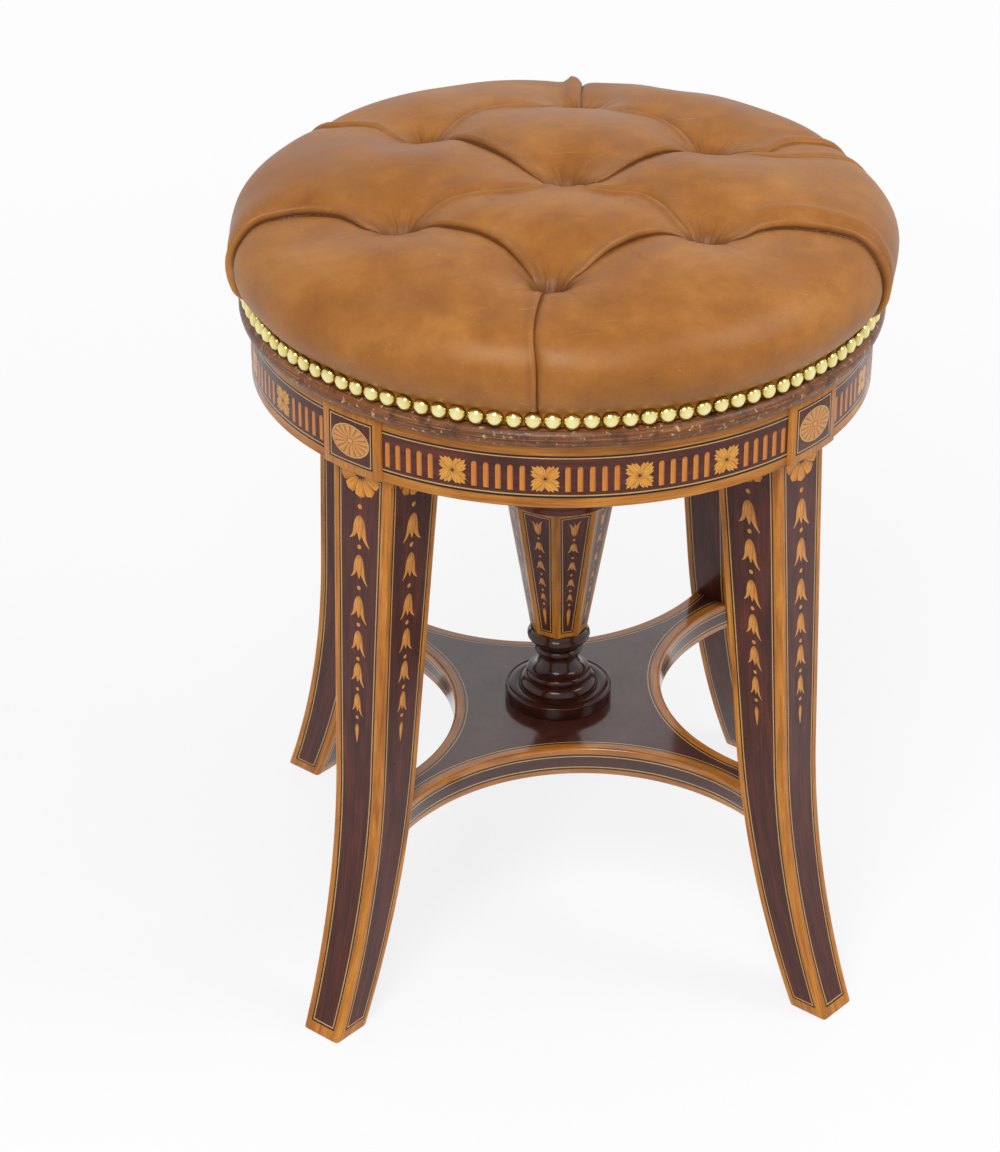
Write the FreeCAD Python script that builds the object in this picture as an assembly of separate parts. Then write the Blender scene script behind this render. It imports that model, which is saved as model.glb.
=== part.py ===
import FreeCAD, Part
import math
import os

os.makedirs("parts", exist_ok=True)

V = FreeCAD.Vector

# Frame: millimetres, +Z up, -Y the front. The origin is on the floor, on the axis of the seat screw.
# Directions in plan are degrees from +X, anticlockwise seen from above.
corners = {"front_left": -135.0, "front_right": -45.0, "back_right": 45.0, "back_left": 135.0}
sides = {"front": -90.0, "right": 0.0, "back": 90.0, "left": 180.0}

# Frieze ring under the seat
ring_radius = 186.0
ring_wall = 22.0
ring_bottom = 376.5
ring_height = 40.0

# Sabre legs, each running up through the frieze as a square block
leg_top_width = 43.5
leg_floor_width = 28.0
leg_block_setback = 6.5
leg_block_depth = 46.5
outer_lean_share = 0.044
inner_lean_share = 0.0975
outer_sweep_radius = 530.0
inner_sweep_radius = 550.0
knee_height = 175.0
leg_edge_round = 2.0
sole_edge_round = 0.8

# Inlaid tablets glued to the leg blocks
tablet_stand_out = 2.0
tablet_edge_round = 1.0

# Joints in the wood
joint_ease = 0.15
rail_tenon_thickness = 8.0
rail_tenon_length = 12.0
rail_tenon_inset = 2.5
rail_tenon_shoulder = 8.0
cross_rail_width = 50.0
cross_rail_height = 24.0
cross_rail_lift = 2.0
cross_tenon_width = 22.0
cross_tenon_height = 14.0
cross_tenon_length = 12.0
arm_tenon_width = 18.0
arm_tenon_height = 7.0
arm_tenon_length = 14.0
glue_block_reach = 24.0
glue_block_height = 30.0

# Stretcher platform with four hollow sides
platform_top = 140.0
platform_thickness = 19.0
hollow_centre_distance = 188.0
arm_setback = 3.0
platform_edge_round = 2.0

# Turned foot of the column; the outline is radius and height shares, a pair being an arc through a point
foot_radius = 34.6
foot_height = 50.5
foot_spigot_radius = 10.0
foot_spigot_length = 12.0
foot_outline_shares = [
    [(0.970, 0.000)],
    [(1.000, 0.085), (0.970, 0.170)],
    [(0.930, 0.175)],
    [(0.920, 0.200)],
    [(0.850, 0.238), (0.705, 0.255)],
    [(0.670, 0.320), (0.570, 0.362)],
    [(0.602, 0.412), (0.570, 0.464)],
    [(0.455, 0.468)],
    [(0.425, 0.475)],
    [(0.420, 0.530), (0.362, 0.592)],
    [(0.358, 0.620), (0.395, 0.650)],
    [(0.405, 0.650)],
    [(0.405, 0.685)],
    [(0.590, 0.860), (0.538, 1.000)],
]

# Tapered eight-sided shaft, set a little round from the square of the frame
shaft_top_radius = 35.0
shaft_bottom_radius = 17.7
shaft_height = 101.0
shaft_facets = 8
shaft_turn = -9.8
shaft_top_spigot_radius = 17.0
shaft_top_spigot_length = 18.0
shaft_bottom_spigot_radius = 8.0
shaft_bottom_spigot_length = 22.0

# Turned capital between the shaft and the cross rails
capital_radius = 46.0
capital_outline_shares = [
    [(0.850, 0.000)],
    [(0.930, 0.070), (0.850, 0.140)],
    [(0.760, 0.140)],
    [(0.760, 0.170)],
    [(0.640, 0.420), (0.800, 0.780)],
    [(0.860, 0.780)],
    [(0.860, 0.840)],
    [(1.000, 0.840)],
    [(1.000, 1.000)],
]

# Seat screw, its nut and the stop at its lower end
thread_pitch = 6.0
thread_turns = 16
screw_radius = 9.5
running_ease = 0.05
nut_plate_radius = 50.0
nut_plate_thickness = 6.0
nut_hub_radius = 16.0
bore_radius = 11.5
bore_floor_gap = 8.0
screw_neck_radius = 6.0
stop_washer_radius = 10.6
stop_washer_thickness = 3.0
stop_gap = 0.5
end_nut_flats = 18.0
end_nut_thickness = 8.0
flange_radius = 54.0
flange_thickness = 5.0
flange_hub_radius = 17.0
flange_hub_height = 6.0

# Wood screws: head radius, shank radius, length
nut_plate_screw = (4.6, 2.0, 20.0)
nut_plate_screw_circle = 41.0
capital_screw = (5.0, 2.4, 44.0)
capital_screw_circle = 31.0
flange_screw = (4.6, 2.0, 15.0)
flange_screw_circle = 42.0
rim_screw = (3.8, 1.8, 14.0)
rim_screw_count = 8
foot_screw_section = (7.0, 3.2)
foot_screw_bite = 0.5
foot_washer_radius = 13.0
foot_washer_thickness = 2.0
screw_ease = 0.1
hub_ease = 0.3

# Moulded rim of the seat and the board in it; the seat stands turned a little clockwise
seat_turn = -8.6
seat_gap = 0.3
rim_overhang = 6.5
rim_height = 11.7
rim_ledge_width = 9.0
rim_lip_width = 17.7
rim_lip_thickness = 5.2
rim_nose_share = 0.45
rim_foot_inset = 2.4
rim_ledge_drop = 1.3
rim_ledge_fall = 1.8
board_rebate = 15.8
board_flange_thickness = 11.5
board_fit = 0.3

# Cushion: leather over wadding, and the stuffing inside it
cover_overhang = 15.2
cover_widest_rise = 30.0
crown_rise = 43.0
crown_arc_radius = 1040.0
skirt_thickness = 4.5
skirt_height = 9.0
skirt_bottom_gap = 0.4
cover_thickness = 5.0
soft_gap = 0.3

# Tufts: places from the seat centre, their depth, and the covered buttons
tuft_front = 127.0
tuft_back = 127.0
tuft_near_row = 63.0
tuft_far_row = 62.0
tuft_left = 90.0
tuft_right = 85.0
tuft_depth = 13.0
centre_tuft_depth = 18.5
tuft_mouth_radius = 36.0
tuft_lip = 1.0
tuft_floor_radius = 7.0
tuft_wall_share = 0.8
button_radius = 6.6
button_edge = 1.2
button_height = 4.2
twine_radius = 1.0
twine_hole_radius = 1.4
knot_radius = 3.0
knot_height = 2.5
knot_gap = 0.3

# Sewn tucks between the tufts and down over the side
tuck_depth = 3.6
tuck_half_width = 3.4
tuck_bow = 6.0
tuck_end_gap = 12.0
front_tuck_rim_angle = 83.0
back_tuck_rim_angle = 120.0

# Dome-headed nails round the foot of the cover, as faceted heads
nail_count = 110
nail_head_radius = 4.7
nail_head_height = 3.2
nail_line_rise = 3.9
nail_facets = 8
nail_ring_shares = [(1.0, 0.0), (0.78, 0.6), (0.36, 0.95)]
nail_gap = 0.05

# One length that every cut runs past the face it opens
overrun = 5.0

# Heights and radii that follow from the sizes above
ring_top = ring_bottom + ring_height
block_half = leg_top_width / 2
leg_top_outer = ring_radius - leg_block_setback
leg_top_inner = leg_top_outer - leg_block_depth
tablet_radius = ring_radius + tablet_stand_out
cross_rail_bottom = ring_bottom + cross_rail_lift
cross_rail_top = cross_rail_bottom + cross_rail_height
platform_bottom = platform_top - platform_thickness
shaft_bottom = platform_top + foot_height
shaft_top = shaft_bottom + shaft_height
foot_screw_length = (foot_washer_thickness + platform_thickness + foot_height
                     - shaft_bottom_spigot_length + foot_screw_bite)
foot_screw = (*foot_screw_section, foot_screw_length)
nut_plate_top = cross_rail_top + nut_plate_thickness
travel = thread_pitch * thread_turns
stop_washer_top = cross_rail_bottom - travel - stop_gap
stop_washer_bottom = stop_washer_top - stop_washer_thickness
end_nut_bottom = stop_washer_bottom - end_nut_thickness
bore_floor = end_nut_bottom - bore_floor_gap
rim_bottom = ring_top + seat_gap
rim_top = rim_bottom + rim_height
board_bottom = rim_bottom + rim_lip_thickness
board_top = rim_top + board_flange_thickness
flange_bottom = board_bottom - flange_thickness
rim_radius = ring_radius + rim_overhang
board_radius = rim_radius - rim_ledge_width
board_plug_radius = board_radius - board_rebate
rim_inner_radius = board_plug_radius - rim_lip_width
skirt_radius = board_radius + board_fit + skirt_thickness
skirt_top = rim_top + skirt_height
nail_line_height = rim_top + nail_line_rise
cover_radius = board_radius + cover_overhang
cover_widest_height = rim_top + cover_widest_rise
crown_height = cover_widest_height + crown_rise
crown_centre = V(0, 0, crown_height - crown_arc_radius)


def xz(radius, height):
    return V(radius, 0, height)


def on_arc(centre, radius, angle):
    return V(centre.x + radius * math.cos(angle), 0, centre.z + radius * math.sin(angle))


def face_through(points):
    # Straight edges between points, closed by one more; a pair of points is an arc through the first.
    edges = []
    start = points[0]
    last = start
    for step in points[1:]:
        if isinstance(step, tuple):
            edges.append(Part.Arc(last, step[0], step[1]).toShape())
            last = step[1]
        else:
            edges.append(Part.makeLine(last, step))
            last = step
    edges.append(Part.makeLine(last, start))
    return Part.Face(Part.Wire(edges))


def turned_solid(face):
    return face.revolve(V(0, 0, 0), V(0, 0, 1), 360)


def turned_outline(radius, bottom, height, shares):
    # The points of a turned piece, from its axis out to the outline and back to its axis.
    points = [xz(0, bottom)]
    for step in shares:
        places = [xz(radius * across, bottom + height * up) for across, up in step]
        points.append(places[0] if len(places) == 1 else tuple(places))
    points.append(xz(0, bottom + height))
    return points


def cylinder(radius, bottom, top):
    return Part.makeCylinder(radius, top - bottom, V(0, 0, bottom))


def block(x_low, x_high, y_low, y_high, z_low, z_high):
    return Part.makeBox(x_high - x_low, y_high - y_low, z_high - z_low, V(x_low, y_low, z_low))


def around(shape, angle):
    copy = shape.copy()
    copy.rotate(V(0, 0, 0), V(0, 0, 1), angle)
    return copy


def moved(shape, x, y, z):
    copy = shape.copy()
    copy.translate(V(x, y, z))
    return copy


def turned_over(shape):
    copy = shape.copy()
    copy.rotate(V(0, 0, 0), V(1, 0, 0), 180)
    return copy


def one_piece(shape):
    return shape.removeSplitter()


def save(name, shape):
    shape.exportStep("parts/" + name + ".step")
    print(name, len(shape.Solids), round(shape.Volume))


def save_on_seat(name, shape):
    save(name, around(shape, seat_turn))


def wood_screw(sizes, ease=0.0):
    # Countersunk screw pointing down from a flat head at zero.
    head, shank, length = sizes
    drop = head - shank
    points = [
        xz(0, ease),
        xz(head + ease, ease),
        xz(head + ease, 0),
        xz(shank + ease, -drop),
        xz(shank + ease, -length + shank),
        xz(ease, -length - ease),
        xz(0, -length - ease),
    ]
    if ease == 0.0:
        points = [points[0], points[1], points[3], points[4], points[6]]
    return turned_solid(face_through(points))


def on_circle(shape, radius, angles):
    return [around(moved(shape, radius, 0, 0), angle) for angle in angles]


# Legs
def swept_side(top_radius, lean_share, sweep_radius):
    # A leaning line from the frieze to the knee, then a tangent arc out to the floor.
    lean = math.atan(lean_share)
    knee = xz(top_radius + lean_share * (ring_bottom - knee_height), knee_height)
    centre = xz(knee.x + sweep_radius * math.cos(lean), knee.z + sweep_radius * math.sin(lean))
    end = math.asin(centre.z / sweep_radius)
    middle = on_arc(centre, sweep_radius, math.pi + (lean + end) / 2)
    return knee, middle, on_arc(centre, sweep_radius, math.pi + end)


def leg_blank():
    outer_knee, outer_middle, outer_floor = swept_side(leg_top_outer, outer_lean_share, outer_sweep_radius)
    inner_knee, inner_middle, inner_floor = swept_side(leg_top_inner, inner_lean_share, inner_sweep_radius)
    side = face_through([
        xz(leg_top_outer, ring_bottom),
        outer_knee,
        (outer_middle, outer_floor),
        inner_floor,
        (inner_middle, inner_knee),
        xz(leg_top_inner, ring_bottom),
    ])
    slab = side.extrude(V(0, leg_top_width, 0))
    slab.translate(V(0, -block_half, 0))
    floor_half = leg_floor_width / 2
    front = Part.Face(Part.makePolygon([
        V(0, -floor_half, 0),
        V(0, floor_half, 0),
        V(0, block_half, ring_bottom),
        V(0, -block_half, ring_bottom),
        V(0, -floor_half, 0),
    ]))
    leg = slab.common(front.extrude(V(outer_floor.x + overrun, 0, 0)))
    long_edges = [edge for edge in leg.Edges if edge.BoundBox.ZLength > knee_height / 2]
    leg = leg.makeFillet(leg_edge_round, long_edges)
    sole_edges = [edge for edge in leg.Edges if edge.BoundBox.ZMax < leg_edge_round / 2]
    return leg.makeFillet(sole_edge_round, sole_edges)


def rail_tenon(ease, hand):
    # Stub tenon of a frieze rail, in the frame of the leg it enters.
    inner = ring_radius - ring_wall + rail_tenon_inset
    low = block_half - rail_tenon_length
    tenon = block(
        inner - ease, inner + rail_tenon_thickness + ease,
        low - ease, block_half + overrun,
        ring_bottom + rail_tenon_shoulder - ease, ring_top - rail_tenon_shoulder + ease,
    )
    return tenon if hand > 0 else tenon.mirror(V(0, 0, 0), V(0, 1, 0))


def cross_tenon(ease):
    middle = (cross_rail_bottom + cross_rail_top) / 2
    return block(
        leg_top_inner - overrun, leg_top_inner + cross_tenon_length + ease,
        -cross_tenon_width / 2 - ease, cross_tenon_width / 2 + ease,
        middle - cross_tenon_height / 2 - ease, middle + cross_tenon_height / 2 + ease,
    )


def leg_inner_at(height):
    # Radius of the leg's inner face on the swept part below the knee.
    lean = math.atan(inner_lean_share)
    knee = swept_side(leg_top_inner, inner_lean_share, inner_sweep_radius)[0]
    centre_radius = knee.x + inner_sweep_radius * math.cos(lean)
    rise = knee.z + inner_sweep_radius * math.sin(lean) - height
    return centre_radius - math.sqrt(inner_sweep_radius ** 2 - rise ** 2)


def leg_half_at(height):
    return leg_floor_width / 2 + (block_half - leg_floor_width / 2) * height / ring_bottom


platform_middle = (platform_top + platform_bottom) / 2
arm_end = leg_inner_at(platform_middle)


def arm_tenon(ease):
    return block(
        arm_end - overrun, arm_end + arm_tenon_length + ease,
        -arm_tenon_width / 2 - ease, arm_tenon_width / 2 + ease,
        platform_middle - arm_tenon_height / 2 - ease, platform_middle + arm_tenon_height / 2 + ease,
    )


bare_leg = leg_blank()
leg_block = block(leg_top_inner, leg_top_outer, -block_half, block_half, ring_bottom, ring_top)
leg = one_piece(bare_leg.fuse(leg_block))
leg = leg.cut([rail_tenon(joint_ease, 1), rail_tenon(joint_ease, -1), cross_tenon(joint_ease), arm_tenon(joint_ease)])
for corner, angle in corners.items():
    save("leg_" + corner, around(leg, angle))


# Tablets
def tablet():
    slab = block(leg_top_outer, tablet_radius + overrun, -block_half, block_half, ring_bottom, ring_top)
    piece = slab.common(cylinder(tablet_radius, ring_bottom, ring_top))
    front_edges = [edge for edge in piece.Edges if edge.BoundBox.XMin > leg_top_outer + tablet_stand_out]
    return piece.makeFillet(tablet_edge_round, front_edges)


for corner, angle in corners.items():
    save("tablet_" + corner, around(tablet(), angle))


# Frieze rails
def frieze_rails():
    ring = cylinder(ring_radius, ring_bottom, ring_top)
    ring = ring.cut(cylinder(ring_radius - ring_wall, ring_bottom - overrun, ring_top + overrun))
    reach = ring_radius + overrun
    bar = block(-reach, reach, -block_half, block_half, ring_bottom - overrun, ring_top + overrun)
    arcs = ring.cut([around(bar, corners["back_right"]), around(bar, corners["back_left"])])
    rails = {}
    for side, angle in sides.items():
        outward = V(math.cos(math.radians(angle)), math.sin(math.radians(angle)), 0)
        arc = max(arcs.Solids, key=lambda solid: solid.CenterOfMass.dot(outward))
        half_bay = (corners["back_left"] - corners["back_right"]) / 2
        tenons = [around(rail_tenon(0.0, 1), angle - half_bay), around(rail_tenon(0.0, -1), angle + half_bay)]
        rails[side] = one_piece(arc.fuse(tenons))
    return rails


for side, rail in frieze_rails().items():
    save("frieze_rail_" + side, rail)


# Glue blocks in the corners between the leg blocks and the frieze rails
def glue_block(hand):
    inner = ring_radius - ring_wall
    corner = math.sqrt(inner ** 2 - block_half ** 2)
    low = ring_bottom + (ring_height - glue_block_height) / 2
    wedge = Part.Face(Part.makePolygon([
        V(corner - glue_block_reach, block_half, low),
        V(inner + overrun, block_half, low),
        V(inner + overrun, block_half + glue_block_reach, low),
        V(corner - glue_block_reach, block_half, low),
    ])).extrude(V(0, 0, glue_block_height))
    wedge = wedge.common(cylinder(inner, low, low + glue_block_height))
    return wedge if hand > 0 else wedge.mirror(V(0, 0, 0), V(0, 1, 0))


save("glue_blocks", Part.makeCompound(
    [around(glue_block(hand), angle) for angle in corners.values() for hand in (1, -1)]))


# Cross rails, halved together under the nut plate
def cross_rail(lap_low, lap_high):
    half_width = cross_rail_width / 2
    rail = block(-leg_top_inner, leg_top_inner, -half_width, half_width, cross_rail_bottom, cross_rail_top)
    tenon = cross_tenon(0.0)
    rail = rail.fuse([tenon, around(tenon, 180)])
    lap_half = half_width + joint_ease
    lap = block(-lap_half, lap_half, -half_width - overrun, half_width + overrun, lap_low, lap_high)
    hub = cylinder(nut_hub_radius + hub_ease, cross_rail_bottom - overrun, cross_rail_top + overrun)
    holes = [moved(hole, 0, 0, cross_rail_top) for hole in
             on_circle(wood_screw(capital_screw, screw_ease), capital_screw_circle, (0, 180))
             + on_circle(pilot_hole(nut_plate_screw, nut_plate_thickness), nut_plate_screw_circle, (0, 180))]
    return one_piece(rail.cut([lap, hub] + holes))


def pilot_hole(sizes, passed):
    # The hole that a screw makes below a plate of the given thickness.
    shape = wood_screw(sizes, screw_ease)
    shape.translate(V(0, 0, passed))
    return shape


lap_level = (cross_rail_bottom + cross_rail_top) / 2
long_rail = cross_rail(lap_level, cross_rail_top + overrun)
short_rail = cross_rail(cross_rail_bottom - overrun, lap_level)
save("cross_rail_lower", around(long_rail, corners["back_right"]))
save("cross_rail_upper", around(short_rail, corners["back_left"]))

# Nut plate with its threaded hub, and the screws that hold it
quarter_turns = list(corners.values())
nut_plate = cylinder(nut_plate_radius, cross_rail_top, nut_plate_top)
nut_plate = nut_plate.fuse(cylinder(nut_hub_radius, cross_rail_bottom, cross_rail_top))
nut_bore = cylinder(screw_radius + running_ease, cross_rail_bottom - overrun, nut_plate_top + overrun)
plate_holes = [moved(hole, 0, 0, nut_plate_top) for hole in
               on_circle(wood_screw(nut_plate_screw, screw_ease), nut_plate_screw_circle, quarter_turns)]
save("nut_plate", one_piece(nut_plate.cut([nut_bore] + plate_holes)))
save("nut_plate_screws", Part.makeCompound(
    [moved(screw, 0, 0, nut_plate_top) for screw in
     on_circle(wood_screw(nut_plate_screw), nut_plate_screw_circle, quarter_turns)]))
save("capital_screws", Part.makeCompound(
    [moved(screw, 0, 0, cross_rail_top) for screw in
     on_circle(wood_screw(capital_screw), capital_screw_circle, quarter_turns)]))

# Capital
capital = turned_solid(face_through(
    turned_outline(capital_radius, shaft_top, cross_rail_bottom - shaft_top, capital_outline_shares)))
capital = capital.cut([
    cylinder(bore_radius, shaft_top - overrun, cross_rail_bottom + overrun),
    cylinder(shaft_top_spigot_radius + joint_ease, shaft_top - overrun,
             shaft_top + shaft_top_spigot_length + joint_ease),
] + [moved(hole, 0, 0, cross_rail_top) for hole in
     on_circle(wood_screw(capital_screw, screw_ease), capital_screw_circle, quarter_turns)])
save("column_capital", capital)


# Eight-sided shaft
def facet_wire(radius, height):
    step = 360.0 / shaft_facets
    angles = [math.radians(sides["front"] + shaft_turn + step * count) for count in range(shaft_facets)]
    points = [V(radius * math.cos(angle), radius * math.sin(angle), height) for angle in angles]
    return Part.makePolygon(points + points[:1])


shaft = Part.makeLoft(
    [facet_wire(shaft_bottom_radius, shaft_bottom), facet_wire(shaft_top_radius, shaft_top)], True, True)
shaft = shaft.fuse([
    cylinder(shaft_top_spigot_radius, shaft_top - overrun, shaft_top + shaft_top_spigot_length),
    cylinder(shaft_bottom_spigot_radius, shaft_bottom - shaft_bottom_spigot_length, shaft_bottom + overrun),
])
shaft = shaft.cut(cylinder(bore_radius, bore_floor, shaft_top + shaft_top_spigot_length + overrun))
save("column_shaft", one_piece(shaft))

# Turned foot, its spigot through the platform, and the screw and washer below
foot = turned_solid(face_through(turned_outline(foot_radius, platform_top, foot_height, foot_outline_shares)))
foot = foot.fuse(cylinder(foot_spigot_radius, platform_top - foot_spigot_length, platform_top + overrun))
foot_screw_head = platform_bottom - foot_washer_thickness
foot_hole = turned_over(wood_screw(foot_screw, screw_ease))
foot_hole.translate(V(0, 0, foot_screw_head))
foot = foot.cut([
    cylinder(shaft_bottom_spigot_radius + joint_ease,
             shaft_bottom - shaft_bottom_spigot_length - joint_ease, shaft_bottom + overrun),
    foot_hole,
])
save("column_foot", one_piece(foot))
washer = cylinder(foot_washer_radius, foot_screw_head, platform_bottom)
save("foot_washer", washer.cut(foot_hole))
foot_screw_shape = turned_over(wood_screw(foot_screw))
foot_screw_shape.translate(V(0, 0, foot_screw_head))
save("foot_screw", foot_screw_shape)


# Stretcher platform
def platform():
    # The hollows meet the inner faces of the legs a little inside their corners.
    half = leg_half_at(platform_middle) - arm_setback
    diagonal = math.radians(corners["back_right"])
    corner_x = arm_end * math.cos(diagonal) + half * math.sin(diagonal)
    corner_y = arm_end * math.sin(diagonal) - half * math.cos(diagonal)
    hollow_radius = math.hypot(corner_x - hollow_centre_distance, corner_y)
    reach = leg_inner_at(platform_bottom)
    plate = block(-reach, reach, -reach, reach, platform_bottom, platform_top)
    plate = around(plate, corners["back_right"])
    hollow = cylinder(hollow_radius, platform_bottom - overrun, platform_top + overrun)
    plate = plate.cut([around(moved(hollow, hollow_centre_distance, 0, 0), angle) for angle in sides.values()])
    rounded = [edge for edge in plate.Edges
               if edge.BoundBox.ZLength < platform_edge_round and edge.Curve.TypeId == "Part::GeomCircle"]
    plate = plate.makeFillet(platform_edge_round, rounded)
    plate = plate.cut([around(bare_leg, angle) for angle in corners.values()])
    plate = plate.fuse([around(arm_tenon(0.0), angle) for angle in corners.values()])
    socket = cylinder(foot_spigot_radius + joint_ease, platform_top - foot_spigot_length - joint_ease,
                      platform_top + overrun)
    return one_piece(plate.cut([socket, foot_hole]))


save("stretcher_platform", platform())

# Loose stop washer at the foot of the seat screw
stop_washer = cylinder(stop_washer_radius, stop_washer_bottom, stop_washer_top)
stop_bore = cylinder(screw_neck_radius + running_ease, stop_washer_bottom - overrun, stop_washer_top + overrun)
save("stop_washer", stop_washer.cut(stop_bore))

# Seat screw with its turned-down neck, and the nut that keeps the washer on
screw = cylinder(screw_radius, stop_washer_top, board_bottom)
screw = screw.fuse(cylinder(screw_neck_radius, end_nut_bottom, stop_washer_top + overrun))
save_on_seat("seat_screw", one_piece(screw))
corner_radius = end_nut_flats / 2 / math.cos(math.radians(30))
hexagon = Part.makePolygon([V(corner_radius * math.cos(math.radians(60 * count)),
                              corner_radius * math.sin(math.radians(60 * count)),
                              end_nut_bottom) for count in range(7)])
end_nut = Part.Face(hexagon).extrude(V(0, 0, end_nut_thickness))
save_on_seat("end_nut", end_nut.cut(cylinder(screw_neck_radius, end_nut_bottom - overrun,
                                             stop_washer_bottom + overrun)))

# Flange that holds the screw under the seat board
flange = cylinder(flange_radius, flange_bottom, board_bottom)
flange = flange.fuse(cylinder(flange_hub_radius, flange_bottom - flange_hub_height, flange_bottom))
flange_holes = [moved(hole, 0, 0, flange_bottom) for hole in
                on_circle(turned_over(wood_screw(flange_screw, screw_ease)), flange_screw_circle, quarter_turns)]
flange = flange.cut([cylinder(screw_radius, flange_bottom - flange_hub_height - overrun,
                              board_bottom + overrun)] + flange_holes)
save_on_seat("screw_flange", one_piece(flange))
save_on_seat("flange_screws", Part.makeCompound(
    [moved(screw, 0, 0, flange_bottom) for screw in
     on_circle(turned_over(wood_screw(flange_screw)), flange_screw_circle, quarter_turns)]))

# Moulded rim of the seat, with a lip that the board drops into
nose_height = rim_bottom + rim_height * rim_nose_share
ledge_outer = xz(rim_radius - rim_ledge_drop, rim_top - rim_ledge_drop - rim_ledge_fall)
rim = turned_solid(face_through([
    xz(rim_inner_radius, rim_bottom),
    xz(rim_radius - rim_foot_inset, rim_bottom),
    (xz(rim_radius, nose_height), ledge_outer),
    xz(skirt_radius, rim_top - rim_ledge_drop),
    xz(board_radius + board_fit, rim_top),
    xz(board_plug_radius + board_fit, rim_top),
    xz(board_plug_radius + board_fit, board_bottom),
    xz(rim_inner_radius, board_bottom),
]))
rim_screw_circle = (rim_inner_radius + board_plug_radius) / 2
rim_screw_angles = [360.0 * count / rim_screw_count for count in range(rim_screw_count)]
rim_holes = [moved(hole, 0, 0, rim_bottom) for hole in
             on_circle(turned_over(wood_screw(rim_screw, screw_ease)), rim_screw_circle, rim_screw_angles)]
save_on_seat("seat_rim", rim.cut(rim_holes))
save_on_seat("rim_screws", Part.makeCompound(
    [moved(screw, 0, 0, rim_bottom) for screw in
     on_circle(turned_over(wood_screw(rim_screw)), rim_screw_circle, rim_screw_angles)]))


# Cushion outline: crown arc, shoulder arc, drawn-in side and a straight skirt behind the nails
shoulder_radius = ((2 * crown_arc_radius * crown_rise - crown_rise ** 2 - cover_radius ** 2)
                   / (2 * (crown_arc_radius - cover_radius)))
shoulder_centre = xz(cover_radius - shoulder_radius, cover_widest_height)
shoulder_tilt = math.atan2(shoulder_centre.z - crown_centre.z, shoulder_centre.x)
draw_in = cover_radius - skirt_radius
draw_rise = cover_widest_height - skirt_top
side_radius = (draw_in ** 2 + draw_rise ** 2) / (2 * draw_in)
side_centre = xz(cover_radius - side_radius, cover_widest_height)


def tuft_roll(depth, floor_radius, inset):
    # The round roll of the cushion that falls to the floor of a tuft on the axis: its centre and radius.
    top = crown_height - inset + tuft_lip
    across = tuft_mouth_radius - floor_radius
    drop = depth + tuft_lip
    roll = (across ** 2 + drop ** 2) / (2 * drop)
    return xz(tuft_mouth_radius, top - roll), roll


def cushion_form(inset, skirt_foot_radius, floor_radius, bottom):
    # The cushion shape with its centre tuft, drawn in by one inset all over its arcs, on a straight foot.
    side = side_radius - inset
    foot_angle = -math.acos((skirt_foot_radius - side_centre.x) / side)
    shoulder = shoulder_radius - inset
    crown = crown_arc_radius - inset
    roll_centre, roll = tuft_roll(centre_tuft_depth, floor_radius, inset)
    floor = xz(floor_radius, crown_height - inset - centre_tuft_depth)
    low_angle = math.atan2(floor.z - roll_centre.z, floor.x - roll_centre.x) % (2 * math.pi)
    distance = (roll_centre - crown_centre).Length
    opening = math.acos((crown ** 2 + distance ** 2 - roll ** 2) / (2 * crown * distance))
    brow_angle = math.atan2(roll_centre.z - crown_centre.z, roll_centre.x) + opening
    brow = on_arc(crown_centre, crown, brow_angle)
    high_angle = math.atan2(brow.z - roll_centre.z, brow.x - roll_centre.x)
    return turned_solid(face_through([
        xz(0, bottom),
        xz(skirt_foot_radius, bottom),
        on_arc(side_centre, side, foot_angle),
        (on_arc(side_centre, side, foot_angle / 2), on_arc(side_centre, side, 0)),
        (on_arc(shoulder_centre, shoulder, shoulder_tilt / 2), on_arc(shoulder_centre, shoulder, shoulder_tilt)),
        (on_arc(crown_centre, crown, (shoulder_tilt + brow_angle) / 2), brow),
        (on_arc(roll_centre, roll, (low_angle + high_angle) / 2), floor),
        xz(0, floor.z),
    ]))


tuft_places = {
    "centre": (0.0, 0.0, centre_tuft_depth),
    "front": (0.0, -tuft_front, tuft_depth),
    "back": (0.0, tuft_back, tuft_depth),
    "near_left": (-tuft_left, -tuft_near_row, tuft_depth),
    "near_right": (tuft_right, -tuft_near_row, tuft_depth),
    "far_left": (-tuft_left, tuft_far_row, tuft_depth),
    "far_right": (tuft_right, tuft_far_row, tuft_depth),
}


def set_on_crown(shape, x, y):
    # Swing a shape made on the axis round the centre of the crown, so that it stands square to the crown there.
    copy = shape.copy()
    distance = math.hypot(x, y)
    if distance > 0:
        copy.rotate(crown_centre, V(-y, x, 0), math.degrees(math.asin(distance / crown_arc_radius)))
    return copy


def tuft_cutter(depth, floor_radius, inset):
    # A funnel whose wall is the roll that falls to a flat floor.
    top = crown_height - inset + tuft_lip
    floor = crown_height - inset - depth
    centre, roll = tuft_roll(depth, floor_radius, inset)
    low_angle = math.atan2(floor - centre.z, floor_radius - centre.x) % (2 * math.pi)
    return turned_solid(face_through([
        xz(0, floor),
        xz(floor_radius, floor),
        (on_arc(centre, roll, (low_angle + math.pi / 2) / 2), xz(tuft_mouth_radius, top)),
        xz(tuft_mouth_radius, top + overrun),
        xz(0, top + overrun),
    ]))


def on_crown(x, y):
    rise = math.sqrt(crown_arc_radius ** 2 - x ** 2 - y ** 2)
    return V(x, y, crown_centre.z + rise)


def tuft_floor(x, y, depth):
    # The middle of a tuft's floor, straight down from the crown towards its centre.
    mouth = on_crown(x, y)
    return mouth + (crown_centre - mouth).normalize() * depth


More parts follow.
